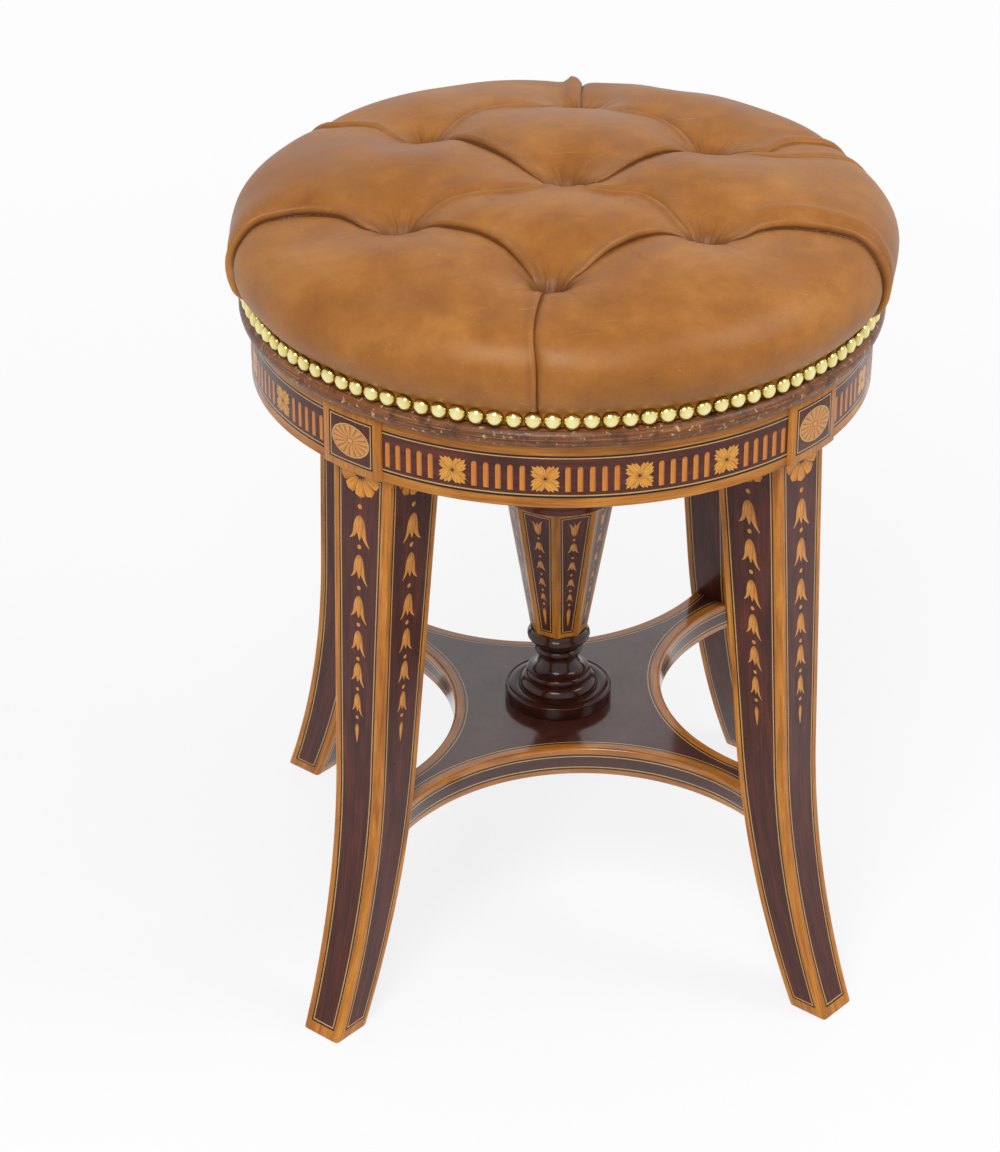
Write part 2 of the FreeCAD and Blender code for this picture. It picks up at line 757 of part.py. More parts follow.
def tuck(centre, axis, start, sweep):
    # A groove of V section along the circle that the start point makes about the axis.
    across = start - centre
    outward = V(across).normalize()
    along = axis.cross(across).normalize()
    sideways = along.cross(outward).normalize()
    apex = start - outward * tuck_depth
    top = start + outward * overrun
    half_width = sideways * (tuck_half_width * (tuck_depth + overrun) / tuck_depth)
    section = Part.Face(Part.makePolygon([apex, top + half_width, top - half_width, apex]))
    return section.revolve(centre, axis, sweep)


def crown_tuck(start, through, end):
    # A tuck over the crown, on the circle through three places on it.
    axis = (through - start).cross(end - through).normalize()
    foot = crown_centre + axis * (start - crown_centre).dot(axis)
    return tuck(crown_centre, axis, start, math.degrees((start - foot).getAngle(end - foot)))


def place_of(name):
    x, y, depth = tuft_places[name]
    return on_crown(x, y)


def short_of(start, end):
    # The place on the crown a little way from the start towards the end.
    along = (end - start).normalize() * tuck_end_gap
    return on_crown(start.x + along.x, start.y + along.y)


def bowed_tuck(start_name, end_name, bow):
    # A tuck between two tufts, bowed sideways in plan by the given amount at its middle.
    start = short_of(place_of(start_name), place_of(end_name))
    end = short_of(place_of(end_name), place_of(start_name))
    along = end - start
    middle = (start + end) * 0.5 + V(along.y, -along.x, 0).normalize() * bow
    return crown_tuck(start, on_crown(middle.x, middle.y), end)


def side_tuck(name, rim_angle):
    # Three pieces from a tuft to the nails: round the shoulder, over the crown to it, and down the drawn-in side.
    angle = math.radians(rim_angle)
    across = V(-math.sin(angle), math.cos(angle), 0)

    def swung(point):
        return V(point.x * math.cos(angle), point.x * math.sin(angle), point.z)

    brow = swung(on_arc(crown_centre, crown_arc_radius, shoulder_tilt))
    down = across.cross(brow - crown_centre).normalize()
    start = short_of(place_of(name), brow)
    axis = (brow - start).cross(down).normalize()
    foot = crown_centre + axis * (start - crown_centre).dot(axis)
    crown_piece = tuck(crown_centre, axis, start, math.degrees((start - foot).getAngle(brow - foot)))
    shoulder = tuck(swung(shoulder_centre), across, brow, math.degrees(shoulder_tilt))
    foot_angle = math.degrees(math.acos((skirt_radius - side_centre.x) / side_radius))
    side = tuck(swung(side_centre), across, swung(xz(cover_radius, cover_widest_height)), foot_angle)
    return [shoulder, crown_piece, side]


front_angle = sides["front"]
tucks = [
    bowed_tuck("near_left", "centre", -tuck_bow),
    bowed_tuck("near_right", "centre", tuck_bow),
    bowed_tuck("near_left", "front", -tuck_bow),
    bowed_tuck("near_right", "front", tuck_bow),
    bowed_tuck("far_left", "centre", -tuck_bow),
    bowed_tuck("far_right", "centre", tuck_bow),
    bowed_tuck("far_left", "back", -tuck_bow),
    bowed_tuck("far_right", "back", tuck_bow),
]
tucks += side_tuck("far_left", front_angle - back_tuck_rim_angle)
tucks += side_tuck("far_right", front_angle + back_tuck_rim_angle)
tucks += side_tuck("front", front_angle)
tucks += side_tuck("back", front_angle + 180)
tucks += side_tuck("near_left", front_angle - front_tuck_rim_angle)
tucks += side_tuck("near_right", front_angle + front_tuck_rim_angle)

# Leather cover with its wadding, and the stuffing, each with its tufts; the grooves are in the cover alone
inner_floor_radius = tuft_floor_radius + cover_thickness * tuft_wall_share
loose_floor_radius = inner_floor_radius + soft_gap
loose_inset = cover_thickness + soft_gap
cover = cushion_form(0.0, skirt_radius, tuft_floor_radius, rim_top + skirt_bottom_gap)
cavity = cushion_form(cover_thickness, board_radius + board_fit, inner_floor_radius, rim_top - overrun)
stuffing = cushion_form(loose_inset, board_radius, loose_floor_radius, board_top)
outer_tufts = [place for name, place in tuft_places.items() if name != "centre"]
for groove in tucks:
    cover = cover.cut(groove)
for x, y, depth in outer_tufts:
    cover = cover.cut(set_on_crown(tuft_cutter(depth, tuft_floor_radius, 0.0), x, y))
    cavity = cavity.cut(set_on_crown(tuft_cutter(depth, inner_floor_radius, cover_thickness), x, y))
    stuffing = stuffing.cut(set_on_crown(tuft_cutter(depth, loose_floor_radius, loose_inset), x, y))
tuft_floors = [tuft_floor(x, y, depth) for x, y, depth in tuft_places.values()]
twine_holes = [moved(cylinder(twine_hole_radius, board_bottom - overrun, crown_height), point.x, point.y, 0)
               for point in tuft_floors]
cover = cover.cut(cavity)
save_on_seat("leather_cover", cover.cut(twine_holes))
save_on_seat("seat_stuffing", stuffing.cut(twine_holes))

# Seat board, rebated to drop into the rim
board = cylinder(board_plug_radius, board_bottom, board_top)
board = board.fuse(cylinder(board_radius, rim_top, board_top))
board_flange_holes = [moved(hole, 0, 0, flange_bottom) for hole in
                      on_circle(turned_over(wood_screw(flange_screw, screw_ease)), flange_screw_circle,
                                quarter_turns)]
knot_bottom = board_bottom + knot_gap
knot_pockets = [moved(cylinder(knot_radius + knot_gap, board_bottom - overrun, knot_bottom + knot_height + knot_gap),
                      point.x, point.y, 0) for point in tuft_floors]
save_on_seat("seat_board", one_piece(board.cut(board_flange_holes + rim_holes + twine_holes + knot_pockets)))


# Covered buttons in the tufts
def button():
    rise = button_height - button_edge
    dome_radius = (button_radius ** 2 + rise ** 2) / (2 * rise)
    dome_centre = xz(0, button_height - dome_radius)
    half_angle = (math.pi / 2 + math.acos(button_radius / dome_radius)) / 2
    return turned_solid(face_through([
        xz(0, 0),
        xz(button_radius, 0),
        xz(button_radius, button_edge),
        (on_arc(dome_centre, dome_radius, half_angle), xz(0, button_height)),
    ]))


save_on_seat("tuft_buttons", Part.makeCompound(
    [set_on_crown(moved(button(), 0, 0, crown_height - depth), x, y) for x, y, depth in tuft_places.values()]))


# Twines from the buttons to knots in pockets under the seat board
def twine(floor_point):
    line = cylinder(twine_radius, knot_bottom, floor_point.z - tuft_lip)
    knot = cylinder(knot_radius, knot_bottom, knot_bottom + knot_height)
    return moved(one_piece(line.fuse(knot)), floor_point.x, floor_point.y, 0)


save_on_seat("tuft_twines", Part.makeCompound([twine(point) for point in tuft_floors]))


# Dome-headed nails
def nail_head():
    rings = []
    for radius_share, height_share in nail_ring_shares:
        points = []
        for count in range(nail_facets):
            angle = 2 * math.pi * (count + 0.5) / nail_facets
            radius = nail_head_radius * radius_share
            points.append(V(nail_head_height * height_share, radius * math.cos(angle), radius * math.sin(angle)))
        rings.append(Part.makePolygon(points + points[:1]))
    return Part.makeLoft(rings, True, True)


head = moved(nail_head(), skirt_radius + nail_gap, 0, nail_line_height)
save_on_seat("brass_nails", Part.makeCompound(
    [around(head, 360.0 * count / nail_count) for count in range(nail_count)]))
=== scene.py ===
import math
import bmesh
import bpy
import numpy as np
from mathutils import Matrix, Vector


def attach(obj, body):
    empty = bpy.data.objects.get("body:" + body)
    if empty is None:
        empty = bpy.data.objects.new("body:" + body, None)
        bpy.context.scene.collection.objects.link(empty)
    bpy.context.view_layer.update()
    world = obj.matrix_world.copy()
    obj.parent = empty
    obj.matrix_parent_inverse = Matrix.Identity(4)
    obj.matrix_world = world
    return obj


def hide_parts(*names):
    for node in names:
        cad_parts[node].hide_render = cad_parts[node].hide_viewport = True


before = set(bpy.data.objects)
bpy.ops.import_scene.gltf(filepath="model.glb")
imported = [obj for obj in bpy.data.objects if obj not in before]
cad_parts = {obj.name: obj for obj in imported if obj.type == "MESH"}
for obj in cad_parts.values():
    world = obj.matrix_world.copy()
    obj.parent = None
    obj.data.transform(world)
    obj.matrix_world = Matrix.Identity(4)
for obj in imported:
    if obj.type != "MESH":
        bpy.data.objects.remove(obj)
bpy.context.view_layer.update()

print("frame loaded")

# All shapes below are worked out in millimetres and become metres when their mesh is made.


def together(*parts):
    # plain arrays spread to one shape and laid side by side: three make points, four make a map
    return np.stack(np.broadcast_arrays(*parts), -1).astype(float)


def walkAlong(line):
    # distance walked along a line of points, from nothing at its start
    return np.concatenate([[0], np.cumsum(np.hypot(*np.diff(line, axis=0).T))])


def closedLoop(values):
    # a loop's values with the first column again at the end, as a map that wraps needs
    return np.append(values, values[:, :1], 1)


def gridFaces(rows, columns, wrap):
    # quads between neighbours of a grid, numbered row by row: first for its points, then for its map
    r, c = np.meshgrid(np.arange(rows - 1), np.arange(columns if wrap else columns - 1), indexing="ij")

    def corners(width):
        n = (c + 1) % width
        return np.stack([r * width + c, r * width + n, (r + 1) * width + n, (r + 1) * width + c], -1).reshape(-1, 4)
    return corners(columns), corners(columns + 1 if wrap else columns)


def turned(points, degrees):
    # every point turned about the upright axis by the angle
    a = math.radians(degrees)
    c, s = math.cos(a), math.sin(a)
    return points @ np.array([[c, s, 0], [-s, c, 0], [0, 0, 1]])


def addObject(name, data):
    # a new object of this data in the scene
    thing = bpy.data.objects.new(name, data)
    bpy.context.scene.collection.objects.link(thing)
    return thing


def makePiece(name, grids, body, material, replaces=(), wrap=True, sharp=38, merge=0.0004, turn=0.0):
    # grids are (points, maps): points rows x columns x 3, maps rows x columns(+1 when it wraps) x 4,
    # holding distance from the inlay's edge, distance from its end, place across the grain, place along it
    places, quads, loopMaps, start = [], [], [], 0
    for points, maps in grids:
        rows, columns = points.shape[:2]
        faces, corners = gridFaces(rows, columns, wrap)
        places.append(points.reshape(-1, 3))
        quads.append(faces + start)
        loopMaps.append(maps.reshape(-1, 4)[corners.reshape(-1)])
        start += rows * columns
    places = turned(np.concatenate(places) / 1000, turn)
    loopMaps = np.concatenate(loopMaps).astype(np.float32)
    mesh = bpy.data.meshes.new(name)
    mesh.from_pydata(places.tolist(), [], np.concatenate(quads).tolist())
    for label, pair in (("inlay", loopMaps[:, :2]), ("grain", loopMaps[:, 2:])):
        mesh.uv_layers.new(name=label).data.foreach_set("uv", pair.ravel())
    work = bmesh.new()
    work.from_mesh(mesh)
    bmesh.ops.remove_doubles(work, verts=work.verts, dist=merge / 1000)
    bare = [edge for edge in work.edges if edge.is_boundary]
    if bare:
        bmesh.ops.holes_fill(work, edges=bare, sides=0)
    bmesh.ops.recalc_face_normals(work, faces=work.faces)
    work.to_mesh(mesh)
    work.free()
    mesh.shade_smooth()
    mesh.set_sharp_from_angle(angle=math.radians(sharp))
    mesh.materials.append(material)
    piece = addObject(name, mesh)
    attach(piece, body)
    if replaces:
        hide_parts(*replaces)
    return mesh


def revolve(profile, columns=128):
    # radius and height pairs turned about the upright axis; the grain runs round
    profile = np.array(profile, float)
    angle = np.linspace(0, 2 * np.pi, columns + 1)
    r, z = profile[:, :1], profile[:, 1:]
    points = together(r * np.cos(angle), r * np.sin(angle), z)
    return points[:, :-1], together(r, z, walkAlong(profile)[:, None], angle * 60)


def arcThrough(a, b, c, count=7):
    # points on the circle through three points, from the first to the last
    (ax, ay), (bx, by), (cx, cy) = a, b, c
    d = 2 * (ax * (by - cy) + bx * (cy - ay) + cx * (ay - by))
    ux = ((ax**2 + ay**2) * (by - cy) + (bx**2 + by**2) * (cy - ay) + (cx**2 + cy**2) * (ay - by)) / d
    uy = ((ax**2 + ay**2) * (cx - bx) + (bx**2 + by**2) * (ax - cx) + (cx**2 + cy**2) * (bx - ax)) / d
    radius = math.hypot(ax - ux, ay - uy)
    t = np.unwrap([math.atan2(y - uy, x - ux) for x, y in (a, b, c)])
    if not min(t[0], t[2]) <= t[1] <= max(t[0], t[2]):
        t[2] += 2 * math.pi * (1 if t[1] > t[0] else -1)
    return [(ux + radius * math.cos(v), uy + radius * math.sin(v)) for v in np.linspace(t[0], t[2], count)]


def outlinePoints(shape):
    # shares of the radius and the height; a pair of shares is an arc through the first to the second
    radius, bottom, height = shape["radius"], shape["bottom"], shape["height"]
    points = [(0.01, bottom)]
    for step in shape["outline"]:
        places = [(radius * a, bottom + height * u) for a, u in step]
        points += places if len(places) == 1 else arcThrough(points[-1], *places)[1:]
    return points + [(0.01, bottom + height)]


def tint(red, green, blue):
    # a screen colour of 0 to 255 as the linear colour that a shader wants
    def linear(v):
        v /= 255
        return v / 12.92 if v <= 0.04045 else ((v + 0.055) / 1.055) ** 2.4
    return (linear(red), linear(green), linear(blue), 1.0)


class Nodes:
    # the nodes of one tree; each short method adds a node and hands back its output
    def __init__(self, tree):
        self.tree = tree

    def add(self, kind, values=None, output=0, **settings):
        node = self.tree.nodes.new("ShaderNode" + kind)
        for key, value in settings.items():
            setattr(node, key, value)
        for key, value in (values or {}).items():
            if isinstance(value, bpy.types.NodeSocket):
                self.tree.links.new(value, node.inputs[key])
            else:
                node.inputs[key].default_value = value
        return node.outputs[output]

    def calc(self, operation, a, b=0.0):
        return self.add("Math", {0: a, 1: b}, operation=operation)

    def mix(self, share, a, b, blend="MIX"):
        return self.add("Mix", {0: share, 6: a, 7: b}, 2, data_type="RGBA", blend_type=blend)

    def ramp(self, value, *stops):
        node = self.tree.nodes.new("ShaderNodeValToRGB")
        self.tree.links.new(value, node.inputs[0])
        marks = node.color_ramp.elements
        while len(marks) < len(stops):
            marks.new(0.5)
        for mark, (place, colour) in zip(marks, stops):
            mark.position, mark.color = place, colour
        return node.outputs[0]

    def grade(self, value, low, high, toLow, toHigh):
        return self.add("MapRange", {0: value, 1: low, 2: high, 3: toLow, 4: toHigh})

    def scaled(self, vector, x, y, z):
        return self.add("Mapping", {0: vector, 3: (x, y, z)})

    def objectPlace(self):
        return self.add("TexCoord", output=3)

    def mapPlace(self, label):
        return self.add("UVMap", uv_map=label)

    def inlayParts(self):
        # the two numbers of the inlay map
        split = self.tree.nodes.new("ShaderNodeSeparateXYZ")
        self.tree.links.new(self.mapPlace("inlay"), split.inputs[0])
        return split.outputs[0], split.outputs[1]

    def noise(self, vector, scale, detail=4.0, roughness=0.55, distortion=0.0):
        return self.add("TexNoise", {"Vector": vector, "Scale": scale, "Detail": detail,
                                     "Roughness": roughness, "Distortion": distortion})


class Finish(Nodes):
    # one material with its shader
    def __init__(self, name, **sockets):
        self.material = bpy.data.materials.new(name)
        self.material.use_nodes = True
        super().__init__(self.material.node_tree)
        self.shader = self.tree.nodes["Principled BSDF"]
        for socket, value in sockets.items():
            self.shader.inputs[socket.replace("_", " ")].default_value = value

    def colour(self, value):
        self.tree.links.new(value, self.shader.inputs["Base Color"])

    def rough(self, value):
        self.tree.links.new(value, self.shader.inputs["Roughness"])

    def bump(self, height, distance, strength=1.0):
        self.tree.links.new(self.add("Bump", {"Strength": strength, "Distance": distance, "Height": height}),
                            self.shader.inputs["Normal"])


woodTones = {
    "satinLight": tint(218, 152, 60), "satinMid": tint(188, 118, 37), "satinDeep": tint(130, 72, 21),
    "panelLight": tint(112, 50, 33), "panelMid": tint(76, 31, 21), "panelDeep": tint(44, 17, 12),
    "panelCalm": tint(62, 28, 20), "black": tint(24, 15, 11), "cream": tint(200, 156, 92), "coatRoughness": 0.11,
}


def grainOf(finish, fine=1.3, long=34.0, seed=0.0):
    # streaks stretched along the grain map, with finer pores laid over broad bands
    place = finish.scaled(finish.mapPlace("grain"), 1 / fine, 1 / long, 1)
    place = finish.add("VectorMath", {0: place, 1: (seed, seed * 2.3, seed)}, operation="ADD")
    broad = finish.noise(finish.scaled(place, 0.23, 0.6, 1), 1.0, 3.0, 0.5, 0.6)
    streaks = finish.noise(place, 1.0, 6.0, 0.65, 0.3)
    return broad, streaks


def inlaidWood(name, bands, satinShift=1.0, seed=0.0, gloss=0.16, figure=1.0):
    # the smaller of edge and end distance picks the layer: satin band, black line, pale line, then the dark ground
    finish = Finish(name, Coat_Weight=gloss, Coat_Roughness=woodTones["coatRoughness"], Specular_IOR_Level=0.24)
    broad, streaks = grainOf(finish, seed=seed)
    satin = finish.ramp(finish.mix(0.45, streaks, broad), (0.32, woodTones["satinDeep"]),
                        (0.5, woodTones["satinMid"]), (0.68, woodTones["satinLight"]))
    satin = finish.mix(1.0, satin, (satinShift, satinShift * 0.97, satinShift * 0.9, 1), "MULTIPLY")
    panel = finish.ramp(finish.mix(0.4, streaks, broad), (0.3, woodTones["panelDeep"]),
                        (0.5, woodTones["panelMid"]), (0.72, woodTones["panelLight"]))
    layer = finish.mix(figure, woodTones["panelCalm"], panel)
    depth = finish.calc("ADD", finish.calc("MINIMUM", *finish.inlayParts()), finish.grade(broad, 0.3, 0.7, -0.12, 0.12))
    for limit, colour in zip(bands[::-1], (woodTones["cream"], woodTones["black"], satin)):
        layer = finish.mix(finish.calc("LESS_THAN", depth, limit), layer, colour)
    smudge = finish.noise(finish.objectPlace(), 60.0)
    finish.colour(finish.mix(finish.grade(smudge, 0.4, 0.75, 0.0, 0.35), layer, (0.62, 0.5, 0.42, 1), "MULTIPLY"))
    finish.rough(finish.grade(smudge, 0.3, 0.7, 0.24, 0.42))
    finish.bump(finish.mix(0.5, streaks, smudge), 0.00012, 0.5)
    return finish.material


def polishedMahogany(name, light, dark, roughness=(0.2, 0.4), wear=0.0):
    # dark figured wood; wear adds pale rubbed streaks, pale specks and grime, under a duller coat
    coat, coatRoughness = (0.12, 0.2) if wear else (0.3, 0.06)
    finish = Finish(name, Coat_Weight=coat, Coat_Roughness=coatRoughness, Specular_IOR_Level=0.22)
    broad, streaks = grainOf(finish, 1.6, 45.0, 4.0)
    wood = finish.ramp(finish.mix(0.45, streaks, broad), (0.3, dark), (0.7, light))
    scratches = finish.noise(finish.scaled(finish.mapPlace("grain"), 1.3, 0.06, 1), 1.0, 8.0, 0.8)
    if wear:
        specks = finish.noise(finish.objectPlace(), 330.0, 3.0)
        grime = finish.noise(finish.objectPlace(), 95.0, 3.0)
        for cloud, low, share, colour in ((scratches, 0.5, wear, tint(190, 148, 104)),
                                          (specks, 0.6, wear, tint(205, 176, 138)),
                                          (grime, 0.5, 0.7, tint(38, 24, 18))):
            wood = finish.mix(finish.grade(cloud, low, 0.7, 0.0, share), wood, colour)
    finish.colour(wood)
    finish.rough(finish.grade(scratches, 0.3, 0.7, *roughness))
    finish.bump(scratches, 0.00015, 0.5)
    return finish.material


def paleTimber(name, light, dark):
    # unpolished structural wood on object coordinates
    finish = Finish(name, Roughness=0.62)
    place = finish.objectPlace()
    streaks = finish.noise(finish.scaled(place, 45, 340, 340), 1.0, 5.0, 0.6, 0.4)
    finish.colour(finish.ramp(streaks, (0.32, dark), (0.7, light)))
    finish.bump(streaks, 0.0002, 0.6)
    return finish.material


def metal(name, light, dark, roughness):
    # brushed or worn metal on object coordinates
    finish = Finish(name, Metallic=1.0)
    cloud = finish.noise(finish.objectPlace(), 150.0, 5.0, 0.6)
    finish.colour(finish.ramp(cloud, (0.3, dark), (0.68, light)))
    finish.rough(finish.grade(cloud, 0.3, 0.7, *roughness))
    finish.bump(cloud, 0.0001, 0.4)
    return finish.material


def tarnishAndPaintedLightBrass():
    # palest on the crown, polish with a painted highlight; browned towards its rim, tarnish with painted shade
    finish = Finish("nailBrass", Metallic=1.0)
    cloud = finish.noise(finish.objectPlace(), 40.0, 3.0)
    share = finish.calc("ADD", finish.inlayParts()[0], finish.grade(cloud, 0.3, 0.7, -0.08, 0.08))
    finish.colour(finish.ramp(share, (0.0, tint(112, 90, 44)), (0.26, tint(196, 176, 102)),
                              (0.6, tint(232, 216, 140)), (1.0, tint(246, 238, 180))))
    finish.rough(finish.grade(cloud, 0.3, 0.7, 0.14, 0.24))
    return finish.material


# bands: how far from the edge the satin band, the black line and the pale line end
legWood = inlaidWood("legInlay", (4.9, 5.9, 6.7))
friezeWood = inlaidWood("friezeInlay", (5.9, 7.3, 8.1), 0.9, 3.0)
tabletWood = inlaidWood("tabletGround", (5.2, 6.3, 7.0), 0.95, 7.0)
shaftWood = inlaidWood("shaftInlay", (3.1, 3.9, 4.4), 0.9, 11.0)
platformWood = inlaidWood("platformInlay", (6.3, 7.5, 8.2), 0.9, 15.0, 0.95, 0.35)
footMahogany = polishedMahogany("footMahogany", tint(72, 30, 16), tint(26, 11, 8), (0.16, 0.3))
capitalMahogany = polishedMahogany("capitalMahogany", tint(110, 44, 26), tint(52, 20, 14))
rimMahogany = polishedMahogany("rimMahogany", tint(144, 84, 42), tint(74, 38, 20), (0.28, 0.5), 0.8)
blockMahogany = paleTimber("blockMahogany", tint(120, 66, 40), tint(70, 34, 20))
beech = paleTimber("beechTimber", tint(196, 152, 104), tint(150, 104, 62))
iron = metal("darkIron", tint(92, 88, 84), tint(48, 44, 42), (0.35, 0.6))
steel = metal("screwSteel", tint(170, 168, 162), tint(110, 106, 100), (0.25, 0.45))
nailBrass = tarnishAndPaintedLightBrass()
twineFinish = paleTimber("waxedTwine", tint(190, 176, 140), tint(140, 124, 92))
print("materials made")


legShape = {
    "topOuter": 179.5, "topInner": 133.0, "outerLean": 0.044, "innerLean": 0.0975,
    "outerSweep": 530.0, "innerSweep": 550.0, "knee": 175.0, "ringBottom": 376.5, "ringTop": 416.5,
    "floorHalf": 14.0, "topHalf": 21.75, "edgeRound": 2.0, "soleRows": (0, 0.25, 0.8), "soleInset": (0.8, 0.35, 0),
}
# each leg's angle, and which of its sides faces the front or the back bay
corners = {"front_left": (-135.0, 1), "front_right": (-45.0, -1), "back_right": (45.0, 1), "back_left": (135.0, -1)}


def sweptRadius(z, top, lean, sweep):
    # a straight lean from the frieze to the knee, then a circle tangent to it down to the floor
    z = np.asarray(z, float)
    knee, ringBottom = legShape["knee"], legShape["ringBottom"]
    angle = math.atan(lean)
    centreX = top + lean * (ringBottom - knee) + sweep * math.cos(angle)
    centreZ = knee + sweep * math.sin(angle)
    straight = top + lean * (ringBottom - z)
    bent = centreX - np.sqrt(np.maximum(sweep**2 - (centreZ - z) ** 2, 0))
    return np.where(z >= knee, straight, bent)


def legSection(z):
    # inner radius, outer radius and half width of the leg at each height
    s = legShape
    outer = sweptRadius(z, s["topOuter"], s["outerLean"], s["outerSweep"])
    inner = sweptRadius(z, s["topInner"], s["innerLean"], s["innerSweep"])
    return inner, outer, s["floorHalf"] + (s["topHalf"] - s["floorHalf"]) * np.asarray(z) / s["ringBottom"]


def roundedSection(halfDepth, halfWidth, radius):
    # a rectangle with round corners, walked side by side: x, y and the distance to the nearest edge
    rounds = (0.39, 0.79, 1.18)
    x, y, edge = [], [], []
    for side, (c, s) in enumerate([(1, 0), (0, 1), (-1, 0), (0, -1)]):
        half, other = (halfDepth, halfWidth) if side % 2 else (halfWidth, halfDepth)
        marks = [radius - half, radius + 0.4 - half, 8 - half, 0 * half, half - 8, half - radius - 0.4, half - radius]
        across = marks + [half - radius + radius * math.sin(a) for a in rounds]
        out = [other] * 7 + [other - radius + radius * math.cos(a) for a in rounds]
        x += [c * o - s * a for a, o in zip(across, out)]
        y += [s * o + c * a for a, o in zip(across, out)]
        edge += [half - abs(m) for m in marks] + [0 * half + gap for gap in (radius / 2, 0.05, radius / 2)]
    return [np.stack(part, -1) for part in (x, y, edge)]


def legGrid():
    # rounded rectangles stacked from the sole to the frieze, in the leg's own frame with x outwards
    s = legShape
    z = np.sort([*s["soleRows"], 6, *np.linspace(12, 175, 22), *np.linspace(185, s["ringBottom"], 18), 191])
    inner, outer, half = legSection(z)
    x, y, edge = roundedSection((outer - inner) / 2, half, s["edgeRound"])
    inset = np.interp(z, s["soleRows"], s["soleInset"])[:, None]
    x = x * (1 - inset / 25) + ((outer + inner) / 2)[:, None]
    y = y * (1 - inset / 14)
    walk = walkAlong(together(x[20], y[20]))
    end = np.minimum(z - 1.4, s["ringBottom"] + 0.7 - z)[:, None]
    return together(x, y, z[:, None]), together(closedLoop(edge), end, np.append(walk, walk[-1] + 1), z[:, None])


def blockGrid():
    # the square block of the leg inside the frieze; no inlay
    s = legShape
    z = np.linspace(s["ringBottom"], s["ringTop"], 3)[:, None]
    half, inner, outer = s["topHalf"], s["topInner"], s["topOuter"]
    points = together([outer, outer, inner, inner], [-half, half, half, -half], z)
    return points, together(20, 20, [0, 43.5, 90, 133.5, 180], z)


for corner, (angle, baySide) in corners.items():
    makePiece("inlaid_leg_" + corner, [legGrid(), blockGrid()], "frame", legWood,
              ["leg_" + corner], turn=angle)
print("legs made")


def petalGrid(spine, halfWidth, place, lift=0.07, sink=0.25):
    # a thin closed strip: a spine of across and along points, a half width at each, laid on a surface by place()
    spine = np.asarray(spine, float)
    way = np.gradient(spine, axis=0)
    way /= np.maximum(np.linalg.norm(way, axis=1, keepdims=True), 1e-9)
    side = np.stack([-way[:, 1], way[:, 0]], -1)
    shares = np.array([-1, -1, 0, 1, 1])
    heights = np.array([-sink, lift, lift * 1.15, lift, -sink])
    flat = spine[:, None] + side[:, None] * (shares[None, :, None] * np.asarray(halfWidth)[:, None, None])
    points = place(flat[..., 0], flat[..., 1], heights)
    t = np.linspace(0, 1, len(spine))[:, None]
    loop = np.append(shares, shares[0])
    return points, together(t, loop, loop * 3, t * 8)


def petalLine(length, start, turn=0.0, count=9):
    # a straight spine that falls from its start by the length, turned about its start
    t, a = np.linspace(0, length, count), math.radians(turn)
    return together(start[0] + t * math.sin(a), start[1] - t * math.cos(a))


def dropShape(top, bottom, width, place):
    # a drop pointed at both ends: half its width is a sine of the way's power 0.55, raised to 0.85
    t = np.linspace(0, 1, 9)
    half = width / 2 * np.maximum(np.sin(math.pi * t**0.55), 0) ** 0.85 + 0.02
    return petalGrid(petalLine(top - bottom, (0, top)), half, place)


def dotShape(z, size, place):
    # a round dot: half its width follows a circle
    t = np.linspace(0, 1, 9)
    half = size / 2 * np.sqrt(np.maximum(1 - (2 * t - 1) ** 2, 0)) + 0.02
    return petalGrid(together(0, z + size * (0.5 - t)), half, place)


def husk(top, bottom, width, place):
    # a bell: side petals widen slowly and flick out at their tips, over a shorter middle petal with dark gaps
    t, length = np.linspace(0, 1, 12), top - bottom
    grids = []
    for hand, reach in ((-1, length * 0.86), (1, length)):
        across = hand * width * (0.02 + 0.15 * np.sin(math.pi / 2 * np.minimum(t / 0.75, 1)) + 0.3 * t**4.5)
        half = np.minimum(1, np.sqrt(t / 0.3) + 0.12) * np.clip((1.03 - t) / 0.55, 0, 1) ** 0.8
        grids.append(petalGrid(together(across, top - reach * t), width * 0.145 * half + 0.02, place))
    half = width * 0.17 * np.minimum(1, np.sqrt(t / 0.35)) * np.clip((1.02 - t) / 0.5, 0, 1) ** 0.8 + 0.02
    return grids + [petalGrid(petalLine(length * 0.84, (0, top), count=12), half, place, lift=0.1)]


huskTrail = {
    "husks": [(345, 326, 16), (319.5, 301, 13.6), (292.5, 275.5, 13), (269.6, 253.6, 11.5), (248, 233, 10.7),
              (227.5, 213, 8.5)],
    "dots": [350.8, 324.7, 297.9, 273.6, 250.8, 230.5, 211.3], "dotSizes": (3.2, 2.4),
    "drop": (207, 193.8, 2.7), "flowerTop": 371.6, "flowerSize": 17.0,
}


def trailGrids(trail, place):
    # husks under each other by top, bottom and width, dots between them, and a drop at the end
    grids = [grid for shape in trail["husks"] for grid in husk(*shape, place)]
    sizes = np.linspace(*trail["dotSizes"], len(trail["dots"]))
    grids += [dotShape(z, size, place) for z, size in zip(trail["dots"], sizes)]
    return grids + [dropShape(*trail["drop"], place)]


def halfFlower(place):
    # five round petals, apart from each other, fanned from below the frieze's edge
    size = huskTrail["flowerSize"]
    t = np.linspace(0, 1, 9)
    half = size * 0.235 * np.sqrt(np.clip(t * 1.15, 0, 1)) * np.sqrt(np.clip((1 - t) / 0.16, 0, 1)) + 0.02
    lines = [petalLine(size * 0.72, (0, huskTrail["flowerTop"]), turn) for turn in (-76, -38, 0, 38, 76)]
    return [petalGrid(line + 0.22 * (line[-1] - line[0]), half, place) for line in lines]


